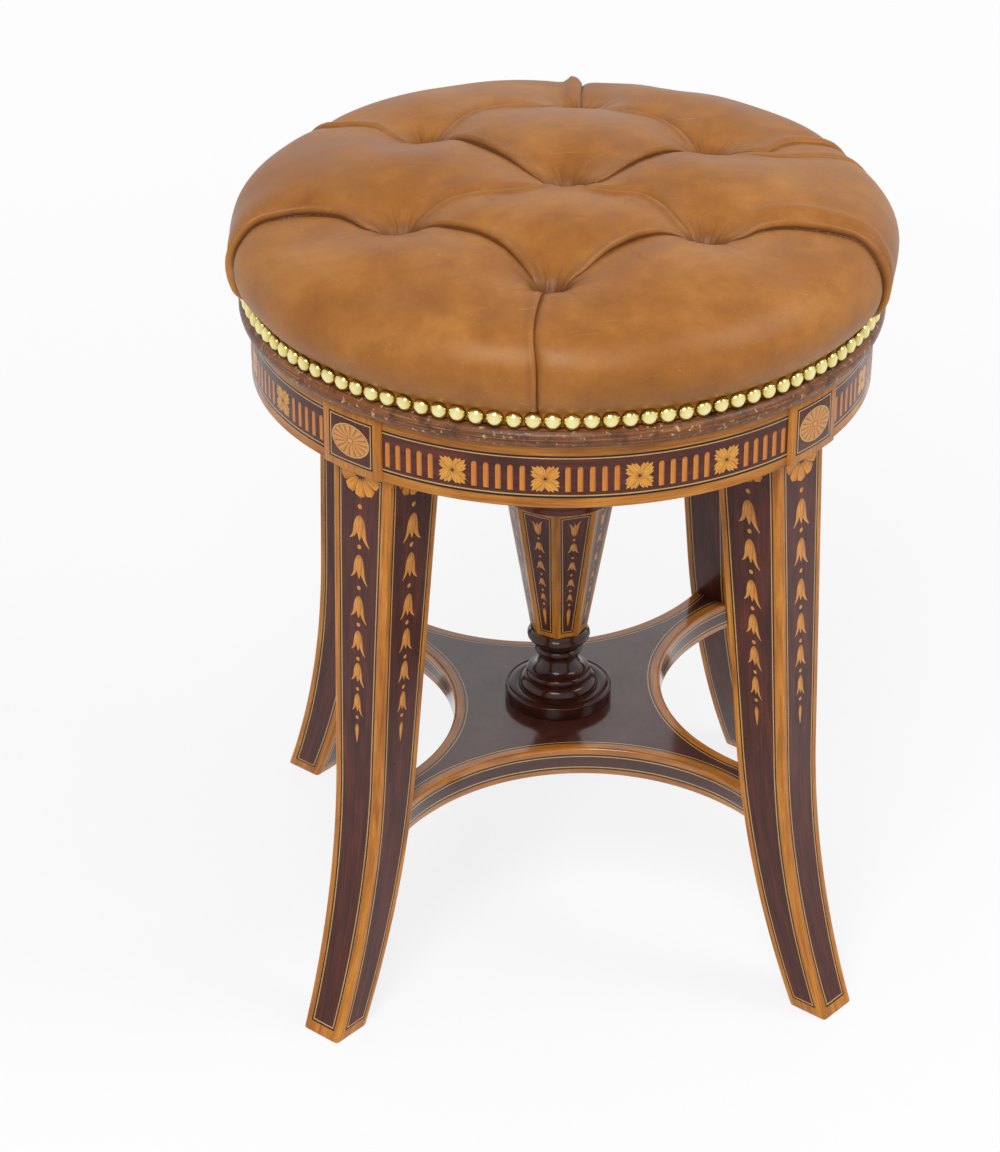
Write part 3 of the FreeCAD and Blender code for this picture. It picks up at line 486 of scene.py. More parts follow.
def legFace(side, angle):
    # across and along on one face of a leg: 0 outward, 1 and -1 the two sides
    def place(across, along, lift):
        inner, outer, half = legSection(along)
        if side == 0:
            return turned(together(outer + lift, across, along), angle)
        return turned(together((inner + outer) / 2 - side * across, side * (half + lift), along), angle)
    return place


def satinInlay(name, light, mid, deep):
    # pale shapes with scorched shading towards their root and one edge
    finish = Finish(name, Coat_Weight=0.16, Coat_Roughness=0.12, Specular_IOR_Level=0.24)
    streaks = grainOf(finish, 0.9, 9.0, 21.0)[1]
    root, edge = finish.inlayParts()
    wood = finish.ramp(streaks, (0.3, deep), (0.5, mid), (0.68, light))
    scorch = finish.calc("MULTIPLY", finish.grade(edge, -0.2, 1.0, 0.0, 1.0), 0.6)
    scorch = finish.calc("MAXIMUM", scorch, finish.grade(root, 0.0, 0.3, 0.75, 0.0))
    wood = finish.mix(scorch, wood, (0.5, 0.36, 0.24, 1), "MULTIPLY")
    patch = finish.noise(finish.objectPlace(), 70.0, 2.0)
    finish.colour(finish.mix(finish.grade(patch, 0.35, 0.7, 0.0, 0.45), wood, (0.9, 0.66, 0.42, 1), "MULTIPLY"))
    finish.rough(finish.grade(streaks, 0.3, 0.7, 0.28, 0.42))
    return finish.material


huskWood = satinInlay("huskInlay", tint(234, 176, 92), tint(214, 148, 66), tint(170, 102, 40))
fluteWood = satinInlay("fluteInlay", tint(224, 152, 66), tint(206, 128, 48), tint(162, 90, 30))
rosetteWood = satinInlay("rosetteInlay", tint(236, 184, 88), tint(216, 154, 62), tint(166, 104, 38))
flowerWood = satinInlay("flowerInlay", tint(240, 176, 72), tint(222, 148, 48), tint(176, 104, 34))

for corner, (angle, baySide) in corners.items():
    outward, inBay = legFace(0, angle), legFace(baySide, angle)
    makePiece("husks_" + corner, trailGrids(huskTrail, outward) + trailGrids(huskTrail, inBay),
              "frame", huskWood)
    makePiece("flower_" + corner, halfFlower(outward) + halfFlower(inBay), "frame", flowerWood)
print("husk trails made")


friezeShape = {
    "radius": 186.0, "wall": 22.0, "bottom": 376.5, "height": 40.0, "legHalf": 21.75,
    "fluteWidth": 3.1, "fluteHeight": 15.8, "flutePitch": 6.9, "rosette": 16.8, "rosetteToFlute": 13.3,
    "patternLength": 248.6, "lastFlute": 3.7, "patternMiddle": 394.9,
}
sides = {"front": -90.0, "right": 0.0, "back": 90.0, "left": 180.0}


def friezeGrid():
    # a rectangular section carried round a quarter less the legs; its outward face carries the inlay
    s = friezeShape
    r0, r1, z0, z1 = s["radius"] - s["wall"], s["radius"], s["bottom"], s["bottom"] + s["height"]
    section = [(r1, z0 + 0.4, 0), (r1, z0 + 20, 20), (r1, z1 - 0.4, -1.4), (r1 - 0.4, z1, -1.4), (r1 - 5, z1, 5),
               (r1 - 5.2, z1, 20), (r0, z1, 20), (r0, z0, 20), (r1 - 5.2, z0, 20), (r1 - 5, z0, 5), (r1 - 0.4, z0, 0)]
    r, z, edge = np.array(section, float).T
    t = np.linspace(-1, 1, 49)[:, None]
    limit = math.pi / 4 - np.arcsin(s["legHalf"] / r)
    points = together(r * np.cos(t * limit), r * np.sin(t * limit), z)
    walk = np.append(walkAlong(together(r, z)), 112.0)
    return points, together(np.append(edge, edge[0]), 30.0, walk, t * limit[0] * r1)


def onFrieze(angle, radius):
    # across runs round the ring, along is height, lift stands out of it
    def place(across, along, lift):
        a = across / radius
        return turned(together((radius + lift) * np.cos(a), (radius + lift) * np.sin(a), along), angle)
    return place


def fluteShape(x, place):
    # an upright bar whose upper end is round: half its width follows a circle there
    s = friezeShape
    height, radius = s["fluteHeight"], s["fluteWidth"] / 2
    t = np.linspace(0, 1, 9) ** 1.6
    half = radius * np.sqrt(1 - (1 - np.minimum(t * height / radius, 1)) ** 2) + 0.02
    return petalGrid(together(x, s["patternMiddle"] + height / 2 - height * t), half, place)


def rosetteShape(x, place):
    # four leaves on the diagonals with slits between them, each a fan of five pointed lobes with tips on a square
    size, grids = friezeShape["rosette"], []
    t = np.linspace(0, 1, 9)
    half = 1.65 * np.minimum(1, 0.3 + t / 0.45) * np.clip((1 - t) / 0.36, 0, 1) ** 0.8 + 0.02
    for diagonal in (45, 135, 225, 315):
        heart = math.radians(diagonal)
        start = (x + 0.95 * math.sin(heart), friezeShape["patternMiddle"] - 0.95 * math.cos(heart))
        for lean in (-33, -17, 0, 17, 33):
            reach = min(size / 2 / math.cos(math.radians(45 - abs(lean))), size * 0.64)
            spine = petalLine(reach - 0.9, start, diagonal + lean * 0.97)
            grids.append(petalGrid(spine, half, place, lift=0.07 + 0.012 * (lean == 0)))
    return grids


def friezeInlay(place):
    # four rosettes evenly apart, five flutes beyond and between them
    s = friezeShape
    pitch, reach = s["flutePitch"], s["patternLength"] / 2 - s["lastFlute"]
    inner = reach - 4 * pitch - s["rosetteToFlute"]
    hearts = np.linspace(-inner, inner, 4)
    places = [hand * (reach - k * pitch) for hand in (-1, 1) for k in range(5)]
    places += [middle + k * pitch for middle in (hearts[:-1] + hearts[1:]) / 2 for k in range(-2, 3)]
    return [fluteShape(x, place) for x in places], [grid for x in hearts for grid in rosetteShape(x, place)]


for side, angle in sides.items():
    makePiece("inlaid_frieze_" + side, [friezeGrid()], "frame", friezeWood,
              ["frieze_rail_" + side], turn=angle)
    flutes, rosettes = friezeInlay(onFrieze(angle, friezeShape["radius"]))
    makePiece("flutes_" + side, flutes, "frame", fluteWood)
    makePiece("rosettes_" + side, rosettes, "frame", rosetteWood)
print("frieze made")


tabletShape = {"radius": 188.0, "flat": 179.5, "half": 21.75, "bottom": 376.5, "height": 40.0,
               "oval": (14.0, 10.3), "ovalMiddle": 396.5}


def tabletGrid():
    # rows climb from the foot to the top, each a loop over the curved face and the flat back
    s = tabletShape
    half, low, high = s["half"], s["bottom"], s["bottom"] + s["height"]
    across = [-half, 0.3 - half, 1 - half, *np.linspace(6 - half, half - 6, 9), half - 1, half - 0.3, half, half, -half]
    a, z = np.meshgrid(across, [low, low + 0.3, low + 1, low + 20, high - 1, high - 0.3, high])
    toEdge, toEnd = half - np.abs(a), np.minimum(z - low, high - z)
    inset = sum(np.interp(gap, [0, 0.3, 1], [1, 0.35, 0]) for gap in (toEdge, toEnd))
    x = np.sqrt(s["radius"] ** 2 - a**2) - np.minimum(inset, 1.4)
    x[:, -2:] = s["flat"]
    return together(x, a, z), together(*(closedLoop(part) for part in (toEdge, toEnd, a, z)))


def onTablet(angle):
    # across and along on the tablet's curved face
    def place(across, along, lift):
        return turned(together(np.sqrt((tabletShape["radius"] + lift) ** 2 - across**2), across, along), angle)
    return place


def pateraGrid(place):
    # an oval from its centre out: share of the radius, and the angle counted in sixteen segments
    (width, height), middle = tabletShape["oval"], tabletShape["ovalMiddle"]
    share, lift = np.array([
        (0.02, 0.1), (0.14, 0.1), (0.16, 0.08), (0.3, 0.09), (0.5, 0.09), (0.7, 0.09), (0.84, 0.09), (0.9, 0.08),
        (0.93, 0.08), (1.0, 0.07), (1.0, -0.25)]).T[..., None]
    angle = np.linspace(0, 2 * np.pi, 121)
    reach = share * (1 + 0.012 * np.abs(np.sin(angle * 8)) * (share > 0.85))
    across, along = reach * width * np.cos(angle), middle + reach * height * np.sin(angle)
    return place(across, along, lift)[:, :-1], together(share, angle * 8 / np.pi, across, along)


def pateraWood():
    # each segment runs from pale to scorched across itself; pale rim and pale centre
    finish = Finish("pateraInlay", Coat_Weight=0.16, Coat_Roughness=0.12, Specular_IOR_Level=0.24)
    share, turns = finish.inlayParts()
    streaks = grainOf(finish, 1.0, 8.0, 2.0)[1]
    fan = finish.ramp(finish.calc("FRACT", turns), (0.0, tint(104, 56, 28)), (0.1, tint(216, 156, 86)),
                      (0.7, tint(200, 136, 70)), (0.93, tint(168, 104, 50)), (1.0, tint(104, 56, 28)))
    rim = finish.ramp(share, (0.0, tint(214, 160, 92)), (0.13, tint(206, 150, 84)), (0.15, tint(84, 46, 26)),
                      (0.19, tint(204, 140, 72)), (0.9, tint(90, 50, 28)), (0.93, tint(206, 160, 96)))
    ring = finish.calc("MAXIMUM", finish.calc("LESS_THAN", share, 0.19), finish.calc("GREATER_THAN", share, 0.9))
    wood = finish.mix(ring, fan, rim)
    finish.colour(finish.mix(finish.grade(streaks, 0.35, 0.7, 0.0, 0.4), wood, (0.8, 0.6, 0.45, 1), "MULTIPLY"))
    finish.rough(finish.grade(streaks, 0.3, 0.7, 0.28, 0.42))
    return finish.material


pateraFinish = pateraWood()
for corner, (angle, baySide) in corners.items():
    makePiece("inlaid_tablet_" + corner, [tabletGrid()], "frame", tabletWood,
              ["tablet_" + corner], turn=angle)
    makePiece("patera_" + corner, [pateraGrid(onTablet(angle))], "frame", pateraFinish)
print("tablets made")


platformShape = {
    "top": 140.0, "thickness": 19.0, "hollowCentre": 188.0, "setback": 3.0, "sideShift": 2.2, "rowsAcross": 61,
    "edgeOffsets": (0, 0.15, 0.6, 1.25, 2.0, 2.4, 4.2, 6.8, 9.0), "edgeDrops": (2.0, 1.25, 0.6, 0.15, 0, 0, 0, 0, 0),
}


def platformGrid(angle):
    # one quarter: points of the hollow's arc drawn towards the diagonals, over the rounded edge above and below
    s = platformShape
    middleHeight = s["top"] - s["thickness"] / 2
    inner, outer, half = (float(part) for part in legSection(middleHeight))
    arm, half = inner + 0.6, half - s["setback"]
    corner = (arm + half) * math.sqrt(0.5) - s["hollowCentre"], (arm - half) * math.sqrt(0.5)
    radius, reach = math.hypot(*corner), math.atan2(corner[1], -corner[0])
    t = np.linspace(-1, 1, s["rowsAcross"])[:, None]
    arc = together(s["hollowCentre"] - radius * np.cos(t * reach), radius * np.sin(t * reach))
    along = arm * np.abs(t) ** 1.5 * math.sqrt(0.5)
    target = together(along, along * np.sign(t))
    share = np.array(s["edgeOffsets"]) / np.linalg.norm(target - arc, axis=2)
    further = 1 - (1 - np.array([0.72, 0.86, 1.0])) * (1 - share[:, -1:]) / 0.45
    further[:, 0] = np.maximum(further[:, 0], share[:, -1] + 0.02)
    share = np.append(share, further, 1)[..., None]
    drop = np.append(s["edgeDrops"], [0, 0, 0])
    plan = arc * (1 - share) + target * share
    fromEdge = np.hypot(plan[..., 0] - s["hollowCentre"], plan[..., 1]) - radius
    top = together(plan[..., 0], plan[..., 1], s["top"] - drop)[:, ::-1]
    low = together(plan[..., 0], plan[..., 1], s["top"] - s["thickness"] + drop)
    middle = together(plan[:, :1, 0], plan[:, :1, 1], middleHeight)
    edge = np.where(drop > 0, drop + s["sideShift"], fromEdge)
    column = np.ones((len(t), 1))
    edge = np.concatenate([edge[:, ::-1], column * (s["thickness"] / 2 + s["sideShift"]), edge], 1)
    across = np.concatenate([fromEdge[:, ::-1], -column * s["thickness"] / 2, -s["thickness"] - fromEdge], 1)
    return turned(np.concatenate([top, middle, low], 1), angle), together(edge, 30.0, across, t * reach * radius)


makePiece("inlaid_platform", [platformGrid(angle) for angle in sides.values()], "frame",
          platformWood, ["stretcher_platform"], wrap=False, merge=0.02)
print("platform made")


footShape = {
    "radius": 34.6, "bottom": 140.0, "height": 50.5, "outline": [
        [(0.955, 0)], [(0.965, 0.012)], [(0.965, 0.15)], [(0.96, 0.168), (0.935, 0.172)], [(0.905, 0.164)],
        [(0.88, 0.178)], [(0.725, 0.192)], [(0.705, 0.18)], [(0.69, 0.182)], [(0.655, 0.268), (0.56, 0.308)],
        [(0.592, 0.355), (0.555, 0.402)], [(0.525, 0.405)], [(0.415, 0.455), (0.362, 0.56)],
        [(0.365, 0.62), (0.395, 0.652)], [(0.436, 0.7), (0.395, 0.748)], [(0.375, 0.756)],
        [(0.395, 0.8), (0.47, 0.832)], [(0.5, 0.838)], [(0.57, 0.9), (0.515, 0.965)], [(0.51, 1)]],
}
capitalShape = {
    "radius": 46.0, "bottom": 287.4, "height": 91.1, "outline": [
        [(0.76, 0)], [(0.8, 0.012)], [(0.8, 0.05)], [(0.86, 0.09), (0.8, 0.14)], [(0.74, 0.14)], [(0.74, 0.17)],
        [(0.64, 0.42), (0.8, 0.78)], [(0.86, 0.78)], [(0.86, 0.84)], [(1, 0.84)], [(1, 1)]],
}
shaftShape = {"low": 190.5, "high": 287.4, "lowRadius": 17.7, "highRadius": 34.3, "turn": 12.7,
              "rows": (197.0, 220.0, 240.0, 262.0, 281.0)}

makePiece("turned_foot", [revolve(outlinePoints(footShape))], "frame", footMahogany,
          ["column_foot"], sharp=50)
makePiece("turned_capital", [revolve(outlinePoints(capitalShape))], "frame", capitalMahogany,
          ["column_capital"], sharp=50)


def shaftFacet(z):
    # half width and flat distance of a facet of the tapered eight-sided shaft
    s = shaftShape
    radius = np.interp(z, [s["low"], s["high"]], [s["lowRadius"], s["highRadius"]])
    return radius * math.sin(math.pi / 8), radius * math.cos(math.pi / 8)


def shaftGrid():
    # eight flat facets, each with points at its edge, next to it and in its middle
    s = shaftShape
    z = np.array([s["low"], *s["rows"], s["high"]])[:, None]
    half, flat = shaftFacet(z)
    facet, share = np.repeat(np.arange(8), 4), np.tile([-1, -0.5, 0, 0.5], 8)
    a = np.radians(s["turn"] + 45 * facet)
    x, y = flat * np.cos(a) - share * half * np.sin(a), flat * np.sin(a) + share * half * np.cos(a)
    edge, across = closedLoop(half * (1 - np.abs(share))), np.append(20.0 * facet + 8 * share, 152.0)
    return together(x, y, z), together(edge, np.minimum(z - s["low"] - 0.4, s["high"] - z), across, z)


def onShaft(k):
    # across a facet, height, and lift square to it
    def place(across, along, lift):
        return turned(together(shaftFacet(along)[1] + lift, across, along), shaftShape["turn"] + 45 * k)
    return place


shaftTrail = {
    "tulip": (280.6, 269.6, 8.0), "drop": (213.5, 199.5, 2.2), "dotSizes": (1.7, 1.7),
    "husks": [(264, 256.4, 7.4), (249.6, 242.6, 6.4), (236.4, 230.2, 5.4), (224.6, 219, 4.4)],
    "dots": [266.8, 253.0, 239.5, 227.3, 216.4],
}


def shaftInlay(place):
    # a husk upside down as the tulip, and the trail below it
    top, bottom, width = shaftTrail["tulip"]

    def flipped(across, along, lift):
        return place(across, top + bottom - along, lift)
    return husk(top, bottom, width, flipped) + trailGrids(shaftTrail, place)


makePiece("inlaid_shaft", [shaftGrid()], "frame", shaftWood, ["column_shaft"], sharp=20)
makePiece("shaft_husks", [grid for k in range(8) for grid in shaftInlay(onShaft(k))],
          "frame", huskWood)
print("column made")


seatTurn = -8.6
rimOutline = [(150, 416.8), (190.1, 416.8), *arcThrough((190.1, 416.8), (192.5, 422.07), (191.2, 425.4))[1:],
              (188.3, 427.2), (183.8, 428.5), (168, 428.5), (168, 422), (150, 422), (150, 416.8)]
makePiece("worn_rim", [revolve(rimOutline, 160)], "seat", rimMahogany,
          ["seat_rim"], turn=seatTurn, sharp=40)

screwShape = {"radius": 9.5, "depth": 1.3, "pitch": 6.0, "low": 282.0, "high": 422.0, "neck": 6.0, "neckLow": 271.0}


def screwGrid():
    # the radius dips once a pitch, and the dip climbs one pitch for each turn
    s = screwShape
    z = np.concatenate([[s["neckLow"], s["low"] - 0.1], np.arange(s["low"], s["high"], 0.75), [s["high"]]])
    angle = np.linspace(0, 2 * np.pi, 33)
    wave = np.clip(0.5 + 0.75 * np.cos(2 * np.pi * z[:, None] / s["pitch"] - angle), 0, 1)
    fade = np.interp(z, [s["low"], s["low"] + 3, s["high"] - 12, s["high"] - 9], [0, 1, 1, 0])[:, None]
    z = z[:, None]
    radius = np.where(z < s["low"], s["neck"], s["radius"] - s["depth"] * (1 - wave) * fade)
    points = together(radius * np.cos(angle), radius * np.sin(angle), z)
    return points[:, :-1], together(radius, 0, angle * 9, z)


makePiece("threaded_screw", [screwGrid()], "seat", steel, ["seat_screw"], sharp=60)

nailShape = {"count": 110, "ring": 188.35, "height": 432.6, "radius": 5.28, "rise": 4.0, "tilt": 0.05, "seed": 5}


def nailGrids():
    # a quarter of an ellipse turned about each nail's own outward axis, each one tilted a little
    s = nailShape
    dice = np.random.default_rng(s["seed"])
    t, angle = np.linspace(0, math.pi / 2, 4)[:, None], np.linspace(0, 2 * np.pi, 17)
    reach = np.maximum(s["radius"] * np.cos(t), 0.02)
    base = together(s["rise"] * np.sin(t), reach * np.cos(angle), reach * np.sin(angle))
    # shares from the rim to the crown, which the brass reads for its tarnish, painted shade and painted highlight
    share = np.array([0, 0, 0.4, 0.75, 1.0])[:, None] + 0 * angle
    grids = []
    for k in range(s["count"]):
        tilt = dice.normal(0, s["tilt"], 3)
        cup = (base + np.cross([0, tilt[0], tilt[1]], base)) * (1 + 0.3 * tilt[2])
        cup = cup + [s["ring"], 0, s["height"] + 4 * tilt[2]]
        cup = np.concatenate([cup[:1] - [0.6, 0, 0], cup])
        grids.append((turned(cup, 360 * k / s["count"])[:, :-1], together(share, 1, 1, 1)))
    return grids


makePiece("dome_nails", nailGrids(), "seat", nailBrass, ["brass_nails"], turn=seatTurn, sharp=70)
print("rim, screw and nails made")


cushionShape = {
    "cells": 150, "crown": 501.5, "crownArc": 1040.0, "shoulderCentre": (170.1, 458.5), "shoulder": 28.6,
    "sideArc": 26.4, "skirt": 188.3, "skirtTop": 437.5, "skirtLow": 428.9, "boardRadius": 183.8, "boardTop": 440.3,
    "underRadius": 60.0, "wellDepth": 14.0, "wellWidth": 8.6, "broadDepth": 12.0, "broadWidth": 30.0,
    "ripples": 0.35, "gather": 6.0, "overhang": 1.1, "sway": 0.7,
    "tufts": {"a": (-91, -63), "b": (0, -127), "c": (86, -63), "d": (2, -3), "e": (-88, 64), "f": (4, 127),
              "g": (83, 58)},
}
# folds: tuft, marks on the unrolled cushion, tuft or rim angle, side of the rolled lip,
# depth in the middle, depth at the tufts, lip height, lip width, darkness of the painted shade along the crease
folds = [
    ("a", [(-78, -61), (-59.6, -69.5), (-44.5, -77.3), (-31.1, -89.2), (-20.3, -103.1), (-11, -116)], "b",
     1, 3.2, 8.5, 2.3, 3.4, 0.85),
    ("b", [(11, -118), (17.2, -113), (23.4, -105), (34, -91), (47.6, -77), (61.2, -68), (75, -64.5)], "c",
     1, 3.2, 8.5, 2.3, 3.4, 0.85),
    ("a", [(-84, -50), (-73, -38), (-62, -30.5), (-49, -27), (-32, -25), (-15, -17)], "d",
     -1, 3.6, 8.5, 1.0, 5.0, 0.7),
    ("d", [(16, -16), (31, -21.5), (45.5, -21.5), (59, -30), (71, -45)], "c",
     -1, 3.6, 8.5, 1.0, 5.0, 0.7),
    ("e", [(-70, 60.6), (-54, 46.7), (-36, 26.5), (-22.8, 9.5), (-11, -1)], "d",
     1, 3.0, 8.5, 2.2, 3.4, 0.85),
    ("d", [(12, -3), (22, -4), (33, 9), (44, 25), (57.5, 41), (70.8, 50.5)], "g",
     1, 3.0, 8.5, 2.2, 3.4, 0.85),
    ("e", [(-78, 82), (-67, 99), (-53, 112), (-38, 118), (-24, 119), (-10, 122)], "f",
     -1, 3.4, 8.5, 1.0, 5.0, 0.7),
    ("f", [(18, 121), (34, 113), (49, 106), (65, 91), (77, 73)], "g",
     -1, 3.4, 8.5, 1.0, 5.0, 0.7),
    ("a", [(-103, -62.5), (-113, -60), (-121, -52.5), (-132, -45.5), (-153.5, -41.5), (-172, -45.5),
           (-185, -50.5), (-196, -55.5), (-206, -62)], 199.0,
     -1, 3.4, 8.0, 2.8, 3.6, 0.9),
    ("c", [(97, -62), (108, -59), (118, -51), (138, -44), (164.5, -44.6), (184.7, -52.5), (198.4, -59.5),
           (208, -64)], 342.0,
     1, 3.4, 8.0, 2.8, 3.6, 0.9),
    ("b", [(-3, -138), (-5.6, -164), (-5.6, -185), (-3.6, -206)], 269.1,
     -1, 2.4, 6.0, 0.25, 3.0, 0.85),
    ("e", [(-104, 68), (-112.7, 76), (-121, 84.5), (-135, 90.3), (-151, 94)], 148.0,
     -1, 1.6, 7.0, 1.4, 5.5, 0.25),
    ("g", [(102, 58), (119.5, 60.5), (128.4, 72.5), (140.3, 83.5), (154, 89)], 29.0,
     1, 1.9, 7.0, 1.5, 5.5, 0.35),
    ("g", [(104, 53), (125, 50), (146, 58), (166, 66)], 20.0, 1, 0.9, 5.0, 0.9, 6.0, 0.12),
    ("c", [(100, -50), (116, -38), (140, -31), (168, -33)], 346.0, 1, 0.5, 4.0, 0.7, 7.0, 0.05),
    ("f", [(3.6, 141), (2.4, 170)], 89.6, 1, 3.4, 8.0, 3.8, 9.0, 0.9),
]
clothShape = {"cells": 100, "frames": 20, "pressure": 4.0, "spare": 0.02, "cap": 9.0, "startBelow": 2.5, "smoothing": 7}


def cushionProfile():
    # distance walked from the middle over the crown, round the shoulder, down the side and skirt: radius and height
    s = cushionShape
    cx, cz = s["shoulderCentre"]
    lean = math.atan2(cx, cz - (s["crown"] - s["crownArc"]))
    t = np.linspace(0, lean, 80)
    crown = np.stack([s["crownArc"] * np.sin(t), s["crown"] - s["crownArc"] * (1 - np.cos(t))], -1)
    t = np.linspace(lean, math.pi / 2, 40)[1:]
    shoulder = np.stack([cx + s["shoulder"] * np.sin(t), cz + s["shoulder"] * np.cos(t)], -1)
    drop = math.asin((cz - s["skirtTop"]) / s["sideArc"])
    t = np.linspace(0, drop, 25)[1:]
    side = np.stack([cx + s["shoulder"] - s["sideArc"] * (1 - np.cos(t)), cz - s["sideArc"] * np.sin(t)], -1)
    foot = np.array([[s["skirt"], s["skirtTop"] - 3], [s["skirt"], s["skirtLow"]]])
    line = np.concatenate([crown, shoulder, side, foot])
    return walkAlong(line), line[:, 0], line[:, 1]


walkMarks, walkRadius, walkHeight = cushionProfile()
walkEnd = walkMarks[-1]
widestRow = int(np.argmax(walkRadius))


def toWalk(x, y):
    # a place in plan becomes a place on the unrolled cushion: same direction, walked distance instead of radius
    radius = math.hypot(x, y)
    walked = float(np.interp(radius, walkRadius[:widestRow], walkMarks[:widestRow]))
    return np.array([x, y]) * walked / max(radius, 1e-6)


def smoothLine(marks, count=70):
    # a curve through every mark, each span a cubic whose ends lean along its neighbours
    marks = np.array(marks, float)
    padded = np.concatenate([2 * marks[:1] - marks[1:2], marks, 2 * marks[-1:] - marks[-2:-1]])
    t = np.linspace(0, len(marks) - 1, count)
    k = np.minimum(t.astype(int), len(marks) - 2)
    u = (t - k)[:, None]
    p0, p1, p2, p3 = padded[k], padded[k + 1], padded[k + 2], padded[k + 3]
    return 0.5 * (2 * p1 + (p2 - p0) * u + (2 * p0 - 5 * p1 + 4 * p2 - p3) * u**2 + (3 * p1 - p0 - 3 * p2 + p3) * u**3)


tuftPlaces = {name: toWalk(*tuft) for name, tuft in cushionShape["tufts"].items()}
tuftArray = np.array(list(tuftPlaces.values()))


def foldLines():
    # each fold with its line from a tuft to another tuft, or straight over the skirt at the rim angle
    lines = []
    for start, marks, end, lip, middle, ends, height, width, dark in folds:
        toRim = not isinstance(end, str)
        if toRim:
            out = np.array([math.cos(math.radians(end)), math.sin(math.radians(end))])
            marks = marks + [out * (walkEnd + past) for past in (-20, -8, 6)]
        else:
            marks = marks + [tuftPlaces[end]]
        lines.append({"line": smoothLine([tuftPlaces[start]] + marks, 90 if toRim else 64), "lip": lip, "toRim": toRim,
                      "middle": middle, "ends": (ends, middle if toRim else ends), "height": height, "width": width,
                      "dark": dark})
    return lines


foldSet = foldLines()


def nearFold(places, fold):
    # for each place: signed distance from the fold towards its lip, walked distance from each end, distance past an
    # end, way to the lip
    line = fold["line"]
    starts, way = line[:-1], np.diff(line, axis=0)
    size = np.linalg.norm(way, axis=1)
    walked = np.concatenate([[0], np.cumsum(size)])
    best = np.full(len(places), 1e9)
    side, along, past = np.zeros((3, len(places)))
    toLip = np.zeros((len(places), 2))
    for k, start in enumerate(starts):
        d = way[k] / size[k]
        rel = places - start
        t = rel @ d
        inside = np.clip(t, 0, size[k])
        dist = np.hypot(*(rel - inside[:, None] * d).T)
        better = dist < best
        best = np.where(better, dist, best)
        cross = d[0] * rel[:, 1] - d[1] * rel[:, 0]
        beyond = 0 * t
        if k == 0:
            beyond = np.maximum(-t, 0)
        elif k == len(starts) - 1:
            beyond = np.maximum(t - size[k], 0)
        side = np.where(better, np.where(beyond > 0, cross, dist * np.sign(cross)), side)
        along = np.where(better, walked[k] + inside, along)
        past = np.where(better, beyond, past)
        toLip = np.where(better[:, None], np.array([-d[1], d[0]]) * fold["lip"], toLip)
    return side * fold["lip"], along, walked[-1] - along, past, toLip


def closeTo(places, fold, reach):
    # which places lie in the fold's own rectangle, widened by the reach
    return np.all((places > fold["line"].min(0) - reach) & (places < fold["line"].max(0) + reach), axis=1)


def awayFromEnds(fold, fromStart, fromEnd, reach):
    # 0 at the fold's tufts and 1 beyond the reach; a rim end stays 1
    free = 1 - np.exp(-(fromStart / reach) ** 2)
    return free if fold["toRim"] else free * (1 - np.exp(-(fromEnd / reach) ** 2))


def gatherRows(places):
    # rows of the mesh near a fold are drawn towards its crease, closest together at the crease itself
    reach = cushionShape["gather"]
    for fold in foldSet:
        near = closeTo(places, fold, 8)
        side, fromStart, fromEnd, past, toLip = nearFold(places[near], fold)
        moved = side * (0.3 + 0.7 * np.clip(np.abs(side) / reach, 0, 1)) - side
        moved = np.where((np.abs(side) < reach) & (past == 0), moved, 0)
        places[near] += toLip * (moved * awayFromEnds(fold, fromStart, fromEnd, 7))[:, None]
    return places


def foldRelief(side, fromStart, fromEnd, past, fold):
    # a crease with a round lip on one side and a slow fall on the other, deeper towards the tufts
    c0, c1 = fold["ends"]
    middle, height, width = fold["middle"], fold["height"], fold["width"]
    crease = middle + (c0 - middle) * np.exp(-(fromStart / 15) ** 1.4) + (c1 - middle) * np.exp(-(fromEnd / 15) ** 1.4)
    free = awayFromEnds(fold, fromStart, fromEnd, 11)
    lip = height * free
    u = np.clip(side / width, 0, 1)
    rise = -crease + (crease + lip) * np.sqrt(np.maximum(1 - (1 - u) ** 2, 0))
    further = np.maximum(side - width, 0)
    hollow = (0.4 + 0.6 * free) * min(height, 2.6) * 0.7 * (1 - np.exp(-(further / 1.6) ** 2))
    beyond = lip * np.exp(-(further / (0.5 * width)) ** 2)
    beyond = beyond - hollow * np.exp(-(np.maximum(further - 2.5, 0) / 7) ** 1.6)
    slow = 7.5 + 8 * np.exp(-fromStart / 22)
    offLip = 0.55 * np.exp(-(np.abs(side) / 2.2) ** 1.2) + 0.45 * np.exp(-(np.abs(side) / slow) ** 1.5)
    relief = np.where(side >= 0, np.where(side < width, rise, beyond), -crease * offLip)
    return relief * np.exp(-(past / 5) ** 2)


